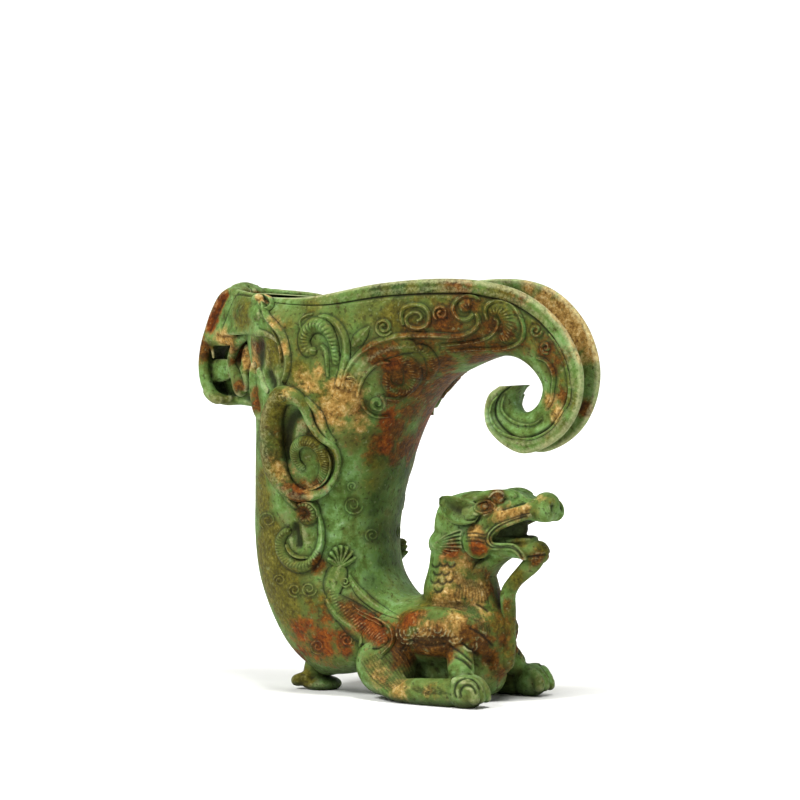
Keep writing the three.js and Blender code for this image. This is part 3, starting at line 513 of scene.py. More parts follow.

# Ears: two cupped leaves of bronze laid back beside the skull, cast on with the head. Each has a thick rim and a
# hollow, darkened in its middle as painted shade.
EAR_ROOT = np.array([38.4, -9.4, 66])
EAR_TIP = np.array([25, -14.4, 70.8])
EAR_HALF = 4.7
EAR_CUP = 3
EAR_THICK = 1.7
bm = bmesh.new()
ear_along = EAR_TIP - EAR_ROOT
ear_facing = np.array([0.1, -0.84, 0.5])
ear_facing -= ear_along * (ear_facing @ ear_along) / (ear_along @ ear_along)
ear_facing /= np.linalg.norm(ear_facing)
ear_across = np.cross(ear_facing, ear_along) / np.linalg.norm(ear_along)
over = np.linspace(-1, 1, 17)
rows, wear_and_shade = [], []
for u in np.linspace(0, 1, 31):
    width = EAR_HALF * (0.3 + 0.7 * math.sin(math.pi * (0.16 + 0.72 * u))) * math.sqrt(1 - u ** 8)
    thick = EAR_THICK * math.sqrt(max(0, 1 - u ** 8))
    middle = EAR_ROOT + ear_along * u + ear_across * 1.7 * math.sin(math.pi * u)
    hollow = EAR_CUP * math.sin(math.pi * min(u + 0.12, 1)) ** 0.7
    front = middle + np.outer(over * width, ear_across) - np.outer(hollow * (1 - over ** 4), ear_facing)
    rear = front - np.outer(thick * (1 - 0.6 * over ** 6), ear_facing)
    front = front + np.outer(1.0 * np.exp(-(((np.abs(over) - 0.85) / 0.13) ** 2)), ear_facing)
    rows.append(np.vstack([front, rear[::-1], front[:1]]))
    # Painted shade: the middle of the ear's hollow is marked dark, the rim as a rubbed edge
    ear_hollow_shade = 0.85 * np.exp(-(((over + 0.25) / 0.42) ** 2)) * math.sin(math.pi * u)
    inner = np.stack([ear_hollow_shade, over ** 8 * 0.6], -1)
    outer = np.stack([over * 0, over ** 8 * 0.5], -1)
    wear_and_shade.append(np.vstack([inner, outer[::-1], inner[:1]]))
rows[0] = rows[0] * 0 + EAR_ROOT
for side in (1, -1):
    netted(bm, np.array(rows) * [1, side, 1], np.array(wear_and_shade))
ears = placed("beast_ears", bm)
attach(ears, "root")
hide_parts("near_ear", "far_ear")


# Eyes: on each side, under the brow, a raised ring of lid round a rounded ball. They are cords of bronze cast with
# the head; the loops, wings and scrollwork on the horn are made the same way.
def strand(bm, carrier, path, half, height, rib=0.0, rib_depth=0.0, skew=0.0, loop=False, round_top=False):
    """A raised cord of bronze laid on the carrier along a path in the view, its foot sunk in, and its twin
    opposite. It is ribbed across if asked, and its back is a soft swell, or a full round if asked"""
    place, facing = pressed(path, carrier, loop)
    loop = loop and np.allclose(place[0], place[-1])
    share = np.linspace(0, 1, len(place))
    half = np.interp(share, np.linspace(0, 1, np.size(half)), np.ravel(half))
    height = np.interp(share, np.linspace(0, 1, np.size(height)), np.ravel(height))
    run = lengths(place)
    full = np.ones(len(place))
    if not loop:
        end = np.minimum(run / max(half[0], 0.4), (run[-1] - run) / max(half[-1], 0.4))
        full = np.sqrt(1 - (1 - np.clip(end, 0, 1)) ** 2)
    ahead = np.vstack([place[-2:-1], place, place[1:2]]) if loop else place
    along = np.gradient(ahead, axis=0)[1:-1] if loop else np.gradient(ahead, axis=0)
    along /= np.linalg.norm(along, axis=1)[:, None] + 1e-9
    up = unit(facing - (facing * along).sum(1)[:, None] * along)
    side = np.cross(along, up)
    turn = np.linspace(0, math.pi, 11)
    over = np.concatenate([np.cos(turn) if round_top else np.linspace(1.25, -1.25, 11), [-0.55, 0.55]])
    rise = np.concatenate([np.sin(turn) ** (0.8 if round_top else 1.5), [-0.12, -0.12]])
    over, rise = np.append(over, over[0]), np.append(rise, rise[0])
    across = over * half[:, None]
    notch = np.zeros_like(across)
    if rib:
        phase = (run[:, None] + skew * across) / rib
        notch = (0.5 + 0.5 * np.cos(2 * math.pi * phase)) ** 2 * np.clip(rise, 0, 1)
    lift = rise * height[:, None] - notch * rib_depth
    sunk = 0.35
    across = across * full[:, None]
    lift = -sunk + (lift + sunk) * full[:, None]
    net = place[:, None] + side[:, None] * across[..., None] + up[:, None] * lift[..., None]
    # Painted shade at the foot where the cord meets its carrier, dark in the rib notches, a rubbed edge on top
    foot = np.clip(0.8 - rise * 1.6, 0, 1) + 0 * across
    wear_and_shade = np.stack([np.maximum(foot, notch * 0.7), np.clip(rise, 0, 1) ** 4 * (1 - notch) * 0.65], -1)
    netted(bm, net, wear_and_shade)
    netted(bm, net * [1, -1, 1], wear_and_shade)


bm = bmesh.new()
strand(bm, face, [(475, 509), (478, 503), (485, 500), (492, 502), (496, 507), (490, 511.5), (481, 513)],
       0.6, 0.6, loop=True)
strand(bm, face, [(482, 507), (485.5, 506.5), (489, 507.5)], 1.4, 0.9, round_top=True)
eyes = placed("beast_eyes", bm)
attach(eyes, "root")
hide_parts("near_eye", "far_eye")

# Beard: a rounded strut cast with the beast, from the chin back to the chest and down between the forelegs. It
# carries the open jaw.
bm = bmesh.new()
limb(bm, [(57, 0, 52.6, 3.6, 2.8), (54, 0, 48.8, 3.4, 3.2), (50.4, 0, 45.4, 3.2, 2.8), (47, 0, 42.2, 3, 2.5),
          (44.4, 0, 38, 3, 2.7), (44.4, 0, 32, 3, 2.6), (44.4, 0, 25, 3, 2.6),
          (44.2, 0, 18, 3, 2.7), (43, 0, 11, 3, 3)])
beard = placed("beast_beard", bm)
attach(beard, "root")
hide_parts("beard")

# Rear foot: a broad flat paw under the tail of the horn, cast with it, its three toes turned back. It keeps the
# cup from tipping over backwards.
bm = bmesh.new()
limb(bm, [(-31, 0, 20, 7, 5), (-33.6, 0, 13, 6.2, 4.2), (-35, 0, 7, 6.4, 4.2), (-34.6, 0, 2.6, 7, 5)])
lump(bm, (-33, 0, 2), (7, 7.4, 3))
for toe in (-5.6, 0.0):
    limb(bm, [(-34, toe * 0.8, 4.6, 2.6, 2.8), (-38.6, toe * 0.9, 3.6, 2.5, 2.4), (-42.4, toe, 2.6, 2.3, 2)])
rear_foot = cast_as_one("rear_paw", bm, 0.5, 3)
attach(rear_foot, "root")
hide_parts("rear_foot")

# Loops on the flanks: a thick cord of bronze bent to a large and a small ring on each side, with a ribbed tendril
# curled up inside the large one. They are cast on the wall and stand well out from it.
wall = skin(horn)
# Pockets cut in the wall inside the rings and under the mask's arch; their dark mark is painted shade
carve(horn, wall, [[(268, 374), (270, 379), (272, 384)]], 2.2, 1.9)
carve(horn, wall, [[(260, 345), (260, 354), (259, 363)]], 3.0, 1.3)
carve(horn, wall, [[(295, 526), (297, 535), (299, 545)]], 1.4, 2.2)
carve(horn, wall, [[(310, 429), (311, 434)]], 1.0, 1.2)
carve(horn, wall, [[(300, 412), (292, 418), (288, 430), (287, 445), (288, 456)]], 2.6, 1.6)
bm = bmesh.new()
upper_ring = [(284, 396), (297, 397), (306, 407), (311, 422), (320, 436), (333, 446), (338, 461), (333, 480),
              (319, 493), (302, 495), (289, 488), (280, 472), (276, 452), (275, 430), (277, 410)]
strand(bm, wall, upper_ring, [3.8, 2, 1.4, 1.3, 1.2, 1.4, 2.2, 3.6, 4.6, 4.8, 4.4, 3.8],
       [5.2, 4, 2.6, 2.4, 2.4, 2.6, 3.2, 4.6, 5.8, 6, 5.6, 5.2], loop=True, round_top=True)
strand(bm, wall, [(300, 491), (314, 488.5), (325, 480), (330, 467), (329, 455), (322, 445)],
       [0.5, 0.8, 0.9, 0.5], [1.2, 1.8, 2, 1.4])
strand(bm, wall, [(318, 484), (324, 473), (325, 460), (321, 449), (312, 441.5), (302, 441.5), (296, 448),
                  (296, 458), (300, 465), (306, 469)], [1.2, 2, 2.2, 2.2, 2, 1.7, 1.2],
       [1.4, 2.2, 2.6, 2.8, 2.6, 2.2, 1.4], 0.9, 0.4, 0.3, round_top=True)
strand(bm, wall, [(304, 397), (311, 405), (318, 414), (322, 426), (328, 437), (336, 445)],
       [1, 1.8, 1.2], [1.6, 1.4, 1])
strand(bm, wall, [(292, 389), (300, 396), (307, 406), (311, 417)], [0.6, 1, 0.6], [4.2, 4, 3])
strand(bm, wall, [(286, 492), (293, 500), (299, 508)], [2.4, 2, 1.6], [3.4, 3, 2.6])
cord = BVHTree.FromBMesh(bm)
rosette = [(281 + 4.2 * math.cos(t), 397 + 4.2 * math.sin(t)) for t in np.linspace(0, 5.3, 8)]
strand(bm, cord, rosette, 0.4, 0.45)
strand(bm, cord, [(279.5, 397), (281, 396.4), (282.5, 397)], 0.5, 0.5, round_top=True)
upper_loops = placed("upper_loops", bm)
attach(upper_loops, "root")
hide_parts("near_upper_ring", "far_upper_ring", "near_inner_curl", "far_inner_curl")
bm = bmesh.new()
strand(bm, wall, [(318, 512), (321, 525), (321.5, 540), (318, 554)], [0.8, 1.1, 1.3, 1.4], [1.6, 2.2, 2.4, 2.4])
strand(bm, wall, [(320, 548), (313, 561), (301, 566), (289, 561), (282, 551), (281, 540), (286, 532),
                  (292, 530)], [1.3, 1.8, 2.2, 2.4, 2.2, 1.8, 1.2],
       [2.2, 2.8, 3.2, 3.2, 3, 2.6, 1.8], 1.1, 0.35, 0.3)
strand(bm, wall, [(287, 543), (291, 552), (299, 557.5), (310, 558)], [0.5, 0.8, 0.5], [1.6, 2, 1.4])
strand(bm, wall, [(298, 506), (303, 503.5), (310, 505), (314, 511), (312, 518), (305, 520), (301, 515)],
       [1.4, 2, 2.2, 2, 1.6, 1.2], [2.4, 3, 3.2, 3, 2.6, 2], 1.1, 0.4)
strand(bm, wall, [(302, 501), (311, 502), (317, 509), (317, 518)], [0.8, 1, 0.8], [2.6, 3, 2.2])
lower_loops = placed("lower_loops", bm)
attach(lower_loops, "root")
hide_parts("near_lower_ring", "far_lower_ring")

# Wings: a ribbed tendril on each flank that starts as a fan of seven ribs on the wall and runs forward down on to
# the beast's shoulder, edged with narrow bands. Cast on, in lower relief than the loops.
flank = skin(horn, body)
bm = bmesh.new()
strand(bm, flank, [(328, 586), (334, 598), (344, 609), (356, 620), (370, 631), (382, 640), (387, 645)],
       [1, 2.2, 3.6, 4.6, 4.8, 4.2, 3], [0.7, 1.5, 1.9, 2, 2, 1.7, 1.1], 1.1, 0.35, 0.25)
for turn in np.radians(np.linspace(192, 342, 7)):
    tip = (341 + 15 * math.cos(turn), 562 + 18 * math.sin(turn))
    waist = (340 + 8 * math.cos(turn + 0.12), 564 + 10 * math.sin(turn + 0.12))
    strand(bm, flank, [(339, 567), waist, tip], [0.8, 1.2, 1.1], [0.7, 1.8, 3.2])
strand(bm, flank, [(341, 562), (337, 574), (333, 586), (333, 598)], [2.2, 3.2, 3, 2], [1, 0.6, 0.6, 0.5])
strand(bm, flank, [(326, 598), (334, 611), (346, 622), (357, 629), (362, 637), (361, 648)],
       [0.8, 1.6, 1.8, 1], [1, 1.7, 1.8, 1.2])
strand(bm, flank, [(352, 604), (358, 610), (370, 616.5), (382, 622),
                   (391, 628), (394, 638), (389, 648), (382, 655)], [0.5, 0.7, 0.8, 0.6], 1.5)
strand(bm, flank, [(354, 611), (362, 616), (374, 622), (384, 627)], [0.4, 0.6, 0.4], 1.9)
strand(bm, flank, [(348, 574), (358, 590), (372, 603), (386, 612), (400, 618)],
       [0.6, 1.6, 1.4, 0.6], [0.2, 0.5, 0.5, 0.2])
wings = placed("wings", bm)
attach(wings, "root")
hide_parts("near_wing", "far_wing")

# Scrollwork under the rim: tendrils, ribbed curls and bands in low relief, cast in the wall on both sides, from
# a fern-like curl at the back to paired heads of tendril and long ridges along the rolled lip. Each is a path in
# the view, half widths and heights along it and, for a ribbed one, the rib's pitch, depth and slant.
def coil(x, y, radius, turns, start=0.0):
    """A spiral in the view that winds inward"""
    turn = np.linspace(0, 2 * math.pi * turns, int(12 * turns) + 2)
    shrink = np.linspace(1, 0.18, len(turn)) * radius
    return [(x + r * math.cos(t + start), y + r * math.sin(t + start)) for t, r in zip(turn, shrink)]


SCROLLS = [
    ([(336, 366), (335, 352), (331, 336), (323, 326), (314, 325), (307, 331), (304, 341),
      (307, 350), (313, 353)], [1.2, 1.6, 2.2, 2.6, 2.4, 1.8], [1, 1.5, 2, 2.2, 2, 1.6], 1.45, 0.5, 0.25),
    ([(338, 388), (343, 370), (346, 352), (345, 338), (338, 325), (329, 318), (318, 316)],
     [1.4, 1.5, 1.5, 1.3, 0.8], [0.9, 1.3, 1.4, 1.2, 0.8]),
    ([(320, 345), (325, 349), (327, 362), (328, 378)], [1.1, 0.8, 0.6], [1.3, 1, 0.7]),
    ([(309, 349), (313, 351), (318, 351)], 1.5, 1.9),
    ([(304, 335), (300, 322), (306, 316), (314, 314)], 0.5, 0.6),
    ([(352, 347), (357, 341), (364, 333), (370, 326)], [0.7, 2, 1.7, 0.3], [0.5, 1.2, 1, 0.3]),
    (coil(384, 327, 9, 1.9, 0.4), [0.8, 0.7, 0.7], 0.85),
    ([(404, 326), (401, 316), (404, 308), (414, 305), (424, 307), (429, 315), (427, 325), (417, 328),
      (408, 325), (406, 318), (411, 313), (419, 313), (422, 318), (416, 321)], [0.8, 0.8, 0.6], 0.9),
    (coil(441, 313, 8, 1.6, 2.0), 0.6, 0.7),
    ([(341, 390), (347, 370), (356, 358), (365, 349), (377, 342), (390, 338), (405, 335.5), (430, 335),
      (455, 336), (465, 334), (473, 330), (478, 324), (478, 317), (474, 313)],
     [0.9, 1.2, 1.2, 1.0, 0.8], [0.9, 1.3, 1.3, 1.2, 0.8]),
    ([(350, 392), (356, 375), (366, 361), (381, 351), (400, 346), (417, 347)],
     [2.4, 3.2, 3.2, 2.4], [0.5, 0.8, 0.8, 0.5]),
    ([(357, 398), (360, 385), (367, 372), (380, 363), (391, 362)], [0.6, 0.9, 0.5], 0.9),
    ([(346, 377), (352, 376), (358, 379)], 0.5, 1.3),
    ([(345, 381), (351, 380), (357, 383)], 0.5, 1.3),
    ([(398, 357), (409, 363), (413, 376), (408, 388), (397, 391), (388, 386), (386, 378), (389, 372)],
     [2.6, 3, 2.8, 2.4, 1.8, 1.2], [0.9, 1.3, 1.4, 1.3, 1, 0.7], 1.2, 0.5, 0.45),
    ([(411, 349), (422, 349), (430, 356), (433, 369), (428, 381)],
     [1.2, 2, 2, 1.2], [0.6, 0.9, 0.8, 0.4], 1.2, 0.35, 0.3),
    ([(384, 398), (397, 399), (408, 393), (414, 385)], 0.6, 1.0),
    (coil(377, 403, 8, 1.5, -1.2), 0.9, 1.0),
    ([(361, 398), (365, 409), (375, 416), (389, 416)], 0.6, 0.9),
    ([(474, 313), (468, 319), (458, 318), (453, 310), (455, 302), (463, 297), (474, 297), (481, 301)],
     [0.8, 0.8, 0.6], 1.0),
    ([(460, 311), (466, 305), (473, 304)], [1.6, 2.4, 1.4], [0.8, 1.2, 0.8], 1.1, 0.3),
    ([(500, 341), (509, 334), (511, 322), (504, 311), (495, 309), (490, 315)],
     [2, 3, 3.2, 3, 2.2, 1.4], [0.8, 1.5, 1.7, 1.5, 1.2, 0.8], 1.2, 0.45, 0.4),
    ([(488, 321), (485, 312), (487, 305), (494, 301.5), (505, 303), (515, 309), (521, 318), (524, 331),
      (521, 341), (512, 346), (500, 348), (470, 349), (445, 351)], [0.7, 0.8, 0.7, 0.5], [0.9, 1.0, 0.9, 0.5]),
    ([(440, 345), (460, 343), (480, 340), (490, 336), (497, 328), (498, 320), (493, 318)], 0.6, 0.9),
    (coil(536, 330, 6.5, 1.4), 0.6, 0.7),
    (coil(546, 347, 6, 1.4, 1.0), 0.6, 0.7),
    ([(548, 333), (557, 345), (564, 358), (568, 372), (570, 388), (568, 403), (562, 413), (555, 424)],
     [0.4, 0.8, 0.8, 0.5], 0.8),
    ([(536, 357), (545, 360), (551, 367), (554, 377), (553, 390), (552, 400), (547, 410)],
     [0.5, 1, 0.8, 0.4], 0.9),
    ([(505, 394), (502, 402), (502, 410), (508, 418), (516, 423), (525, 425), (535, 424), (543, 418)],
     [0.4, 0.6, 0.4], 0.6),
    ([(498, 395), (492, 403), (490, 412), (493, 424), (502, 433),
      (515, 438), (530, 439), (542, 435), (552, 428), (560, 418)], [0.4, 0.6, 0.4], 0.6),
]
bm = bmesh.new()
for path, half, height, *ribs in SCROLLS:
    strand(bm, wall, path, half, height, *ribs)
FAINT_COILS = [(353, 505, 10, 0), (372, 535, 7, 2), (295, 590, 7, 1), (309, 589, 8, 0), (280, 580, 6, 3),
               (318, 646, 8, 1), (347, 640, 7, 3.4), (352, 486, 5, 1.5), (268, 520, 9, 2), (345, 582, 6, 0)]
for x, y, r, start in FAINT_COILS:
    strand(bm, wall, coil(x, y, r, 1.6, start), 0.4, 0.32)
scrollwork = placed("scrollwork", bm)
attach(scrollwork, "root")

# Brow bands: a ridge on each side that starts as a ring on the rim and runs down the wall behind the loops. Cast
# on the wall, with a narrow bead beside it.
bm = bmesh.new()
strand(bm, wall, [(263, 304), (267, 316), (275, 325), (282, 335), (286, 348),
                  (288, 360), (287, 372), (283, 384)], [1.0, 1.5, 1.6, 1.4, 1.0], [2.2, 2.2, 1.9, 1.6, 1.4])
strand(bm, wall, [(273, 330), (278, 340), (281, 352), (282, 364)], [0.5, 0.8, 0.5], 1.0)
strand(bm, wall, arc(266, 304, 6.5, 0, 320), 0.9, 1.6, loop=True)
brow_bands = placed("brow_bands", bm)
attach(brow_bands, "root")
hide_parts("near_brow_band", "far_brow_band")

# Mask at the back: a broad strap with an arched top and a raised border that leans out from the rim, rolls over
# and curls back under itself, with a panel, an arched band and a fang on each side of it. One openwork casting.
bm = bmesh.new()
STRAP = [(-65.6, 144.2), (-69.4, 139.4), (-72.8, 132.8), (-75.4, 128), (-77.4, 123.6),
         (-78.4, 117.6), (-78, 112), (-76.4, 106.6), (-73.4, 103.6), (-68.6, 102.8), (-64.6, 103.6)]
strap = drawn(STRAP, 0.6)
slope = unit(np.gradient(strap, axis=0))
outward = np.stack([slope[:, 1], -slope[:, 0]], -1)
over = np.linspace(-1, 1, 27)
ridge = np.exp(-(((np.abs(over) - 0.9) / 0.1) ** 2)) - 0.6 * np.exp(-(((np.abs(over) - 0.68) / 0.07) ** 2))
rows = []
for (x, z), (ox, oz), share in zip(strap, outward, np.linspace(0, 1, len(strap))):
    half = np.interp(share, [0, 0.4, 0.7, 1], [9.2, 9.4, 9, 7.6])
    thick = np.interp(share, [0, 0.1, 0.9, 1], [1.1, 1.3, 1.5, 0.9])
    skirt = thick * np.sqrt(1 - over ** 10)
    bulge = skirt + ridge * 0.8
    crown = z + np.interp(share, [0, 0.06, 0.2], [1.6, 1.3, 0]) * (1 - over ** 2)
    front = np.stack([x - ox * bulge, over * half, crown - oz * bulge], -1)
    rear = np.stack([x + ox * skirt, over * half, crown + oz * skirt], -1)
    rows.append(np.vstack([front, rear[::-1], front[:1]]))
rows.insert(0, rows[0] * 0 + rows[0].mean(0))
rows.append(rows[-1] * 0 + rows[-1].mean(0))
netted(bm, np.array(rows))


def seen(stations):
    """Stations of a limb as places of the casting. Each is given by its place in the view, then its depth y, or
    none where it lies on the wall, and two half sizes"""
    made = []
    for x, y, depth, *sizes in stations:
        ray = sight(x, y)
        start = VIEW_FROM - MIDDLE
        if depth:
            place = start + ray * ((depth * MM - start.y) / ray.y)
        else:
            place = wall.ray_cast(VIEW_FROM, ray)[0] - MIDDLE
        made.append((*(place / MM), *sizes))
    return made


for lean in np.linspace(-0.24, 1, 14):
    start = np.array([-67.6, -9, 140]) * (1 - lean) + np.array([-75, -9, 127.6]) * lean
    end = np.array(seen([(262 - 3 * lean, max(298, 301 + 30 * lean), None)])[0])
    forward = np.array([0.53, -0.85, 0]) * np.interp(lean, [0, 0.35, 0.7], [3.4, 2.8, 0.3])
    limb(bm, [(*start, 1.1, 1.2), (*(start * 0.7 + end * 0.3 + forward * 0.8), 1.1, 1.2),
              (*(start * 0.35 + end * 0.65 + forward), 1.1, 1.2), (*(end + [0, 0.5, 0]), 1.1, 1.2)], (0, 0, 1))
MASK_BANDS = [
    [(231, 367, -11, 1.4, 1.6), (232.5, 356, -11.8, 1.6, 1.8), (236, 346, -13, 1.6, 1.8),
     (242, 338.5, -14.8, 1.6, 1.8), (250, 334, -17.4, 1.5, 1.7), (258, 332.5, None, 1.3, 1.5),
     (267, 334, None, 1, 1.1), (275, 339, None, 0.7, 0.8), (282, 347, None, 0.5, 0.5)],
    [(230, 361, -10.6, 1.4, 1.4), (234, 370, -12, 1.9, 2), (238, 379, -13, 2.4, 2.7),
     (240.5, 388, -13.6, 2.5, 2.9), (241.5, 397, -13.8, 1.5, 1.6)],
    [(241, 366, -13.6, 1, 1.1), (245, 374, -14.6, 1.2, 1.3),
     (247, 383, -15, 1.3, 1.4), (245, 392, -14.8, 1, 1.1)],
    [(255, 362, None, 1.2, 1.4), (254.5, 372, None, 1.8, 2), (255.5, 384, None, 2.2, 2.4),
     (256.5, 396, None, 2.2, 2.4), (258, 408, None, 2, 2.2), (261, 420, None, 1.2, 1.4)],
    [(258, 368, None, 1, 1.2), (262, 377, None, 1, 1.2), (264.5, 386, None, 1, 1.2), (269, 393, None, 0.8, 1)],
    [(252, 344, -14, 1.8, 2.4), (250, 354, -13.4, 2.2, 3), (249, 364, -13.2, 2.2, 3),
     (250, 374, -13.6, 1.8, 2.2)],
    [(206, 338, -10, 2.2, 2.4), (216, 339, -10.4, 2.3, 2.4),
     (228, 339, -11.6, 2.3, 2.4), (240, 336, -14, 2, 2.2)],
    [(210, 336, -9.9, 0.9, 0.9), (212, 346, -9.6, 0.8, 0.8), (214, 359, -9, 0.6, 0.6)],
    [(203, 371, -6.6, 1.6, 4), (213, 371, -6, 1.6, 4.3), (223, 370, -6.6, 1.6, 4.2),
     (232, 368, -8.4, 1.4, 3.2)],
]
for stations in MASK_BANDS:
    limb(bm, seen(stations))
limb(bm, [(-65, -9.4, 143.6, 1.5, 1.4), (-69, -9.9, 140.8, 1.7, 1.6), (-72.6, -9.9, 135, 1.8, 1.7),
          (-75.6, -9.7, 128.4, 1.7, 1.6), (-77.6, -9.3, 122, 1.8, 1.9), (-78.2, -9.1, 115, 2, 2.1),
          (-77, -8.9, 109, 2, 2.2), (-74, -8.6, 105, 1.9, 2.1),
          (-69.6, -8.2, 103.6, 1.6, 1.7), (-66, -8, 104.2, 1, 1)])
limb(bm, seen([(205, 388, -9.8, 1.4, 1.5), (210, 395, -10.2, 1.7, 1.8),
               (217, 399.5, -10.2, 1.7, 1.8), (224.5, 399, -9.8, 1.1, 1.2)]))
limb(bm, [(-65.4, -9.4, 143, 1.6, 1.5), (-60, -13.8, 141.2, 1.6, 1.5),
          (-52, -19.2, 140.2, 1.6, 1.4), (-46, -22.6, 139.6, 1.4, 1.2)])
limb(bm, [(-68.8, -2.8, 103.4, 4, 1.6), (-62, -2.8, 103, 5, 1.8), (-54, -2.8, 102, 5, 1.8)])
limb(bm, [(-75.6, 0, 114, 4.6, 9), (-66, 0, 114, 5, 10.4), (-54, 0, 114, 5.4, 10.8)])
limb(bm, [(-63.6, -10.4, 141, 1.8, 2), (-64.8, -6, 142.2, 1.8, 2.2), (-65, 0, 142.8, 1.8, 2.4)], (0, 0, 1))
lump(bm, (-45, -23, 139.8), (2.6, 2, 2.2))
lump(bm, (-42.4, -24.2, 137.8), (1.8, 1.6, 2))
mask = cast_as_one("rear_mask", bm, 0.5, 3)
back_view = skin(mask)
border_line = [[(238, 292), (233, 300), (228, 312), (222, 327)], [(237, 294), (246, 295), (257, 297)]]
carve(mask, back_view, border_line, 0.55, 0.6)
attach(mask, "root")
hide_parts("rear_strap", "rear_web", "near_rear_hook", "far_rear_hook")

# Old bronze: cast, long buried and cleaned. It gives the eye a matt green crust with olive and rust-brown earth
# baked on in patches, dark dirt in every cut, and paler rubbed edges where the crust is worn thin. Painted shade
# is
# laid in the colour too: dark in hollows, corners, the mouth and the ears, round the relief, and a dark tint on
# the horn's shaded flank and underside. A stain's patches are grouped by strength; each is a place in the view and
# its reach in millimetres.
def linear(code):
    """An sRGB hex colour as a linear one"""
    parts = [int(code[i:i + 2], 16) / 255 for i in (1, 3, 5)]
    return [c / 12.92 if c <= 0.04045 else ((c + 0.055) / 1.055) ** 2.4 for c in parts] + [1]


def node(tree, kind, inputs, stops=(), **settings):
    """Adds a node: its settings, its ramp's stops, and its inputs, each a value or another node's output"""
    made = tree.nodes.new(kind)
    for name, value in settings.items():
        setattr(made, name, value)
    for place, code in stops:
        element = made.color_ramp.elements.new(place)
        element.color = linear(code)
    if stops:
        made.color_ramp.elements.remove(made.color_ramp.elements[0])
        made.color_ramp.elements.remove(made.color_ramp.elements[-1])
    for socket, value in inputs.items():
        if isinstance(value, bpy.types.NodeSocket):
            tree.links.new(value, made.inputs[socket])
        else:
            made.inputs[socket].default_value = value
    return made


def points(piece):
    """The piece's points, and the way its skin faces at each"""
    co, facing = np.zeros((2, len(piece.data.vertices) * 3))
    piece.data.vertices.foreach_get("co", co)
    piece.data.vertex_normals.foreach_get("vector", facing)
    return co.reshape(-1, 3), facing.reshape(-1, 3)


def relief_marked(piece, rounds, full):
    """Marks each point by how far it lies below or above its smoothed surroundings, in full at that many mm"""
    co, facing = points(piece)
    ends = np.zeros(len(piece.data.edges) * 2, int)
    piece.data.edges.foreach_get("vertices", ends)
    others = ends.reshape(-1, 2)[:, ::-1].ravel()
    degree = np.maximum(np.bincount(ends, minlength=len(co)), 1)[:, None]
    soft = co
    for _ in range(rounds):
        total = np.stack([np.bincount(ends, soft[others, k], len(co)) for k in range(3)], -1)
        soft = 0.4 * soft + 0.6 * total / degree
    rise = ((co - soft) * facing).sum(1) / (full * MM)
    mark(piece, "recess_dirt_and_shade", np.clip(-rise, 0, 1))
    mark(piece, "edge", np.clip(rise, 0, 1))


casting = [horn, body, head, ears, eyes, beard, rear_foot, upper_loops,
           lower_loops, wings, scrollwork, brow_bands, mask]
# Hollows get the dark mark, part dirt and part painted shade; ridges get the rubbed edge
for piece in (body, head, rear_foot, mask):
    relief_marked(piece, 12, 0.35)
relief_marked(horn, 10, 0.5)

# Painted shade: the wall darkened within about a millimetre round the relief laid on it
relief = [v.co for p in (upper_loops, lower_loops, wings, scrollwork, brow_bands) for v in p.data.vertices]
mark(horn, "recess_dirt_and_shade", np.exp(-((nearest(horn, relief) / 0.9) ** 2)) * 0.55)

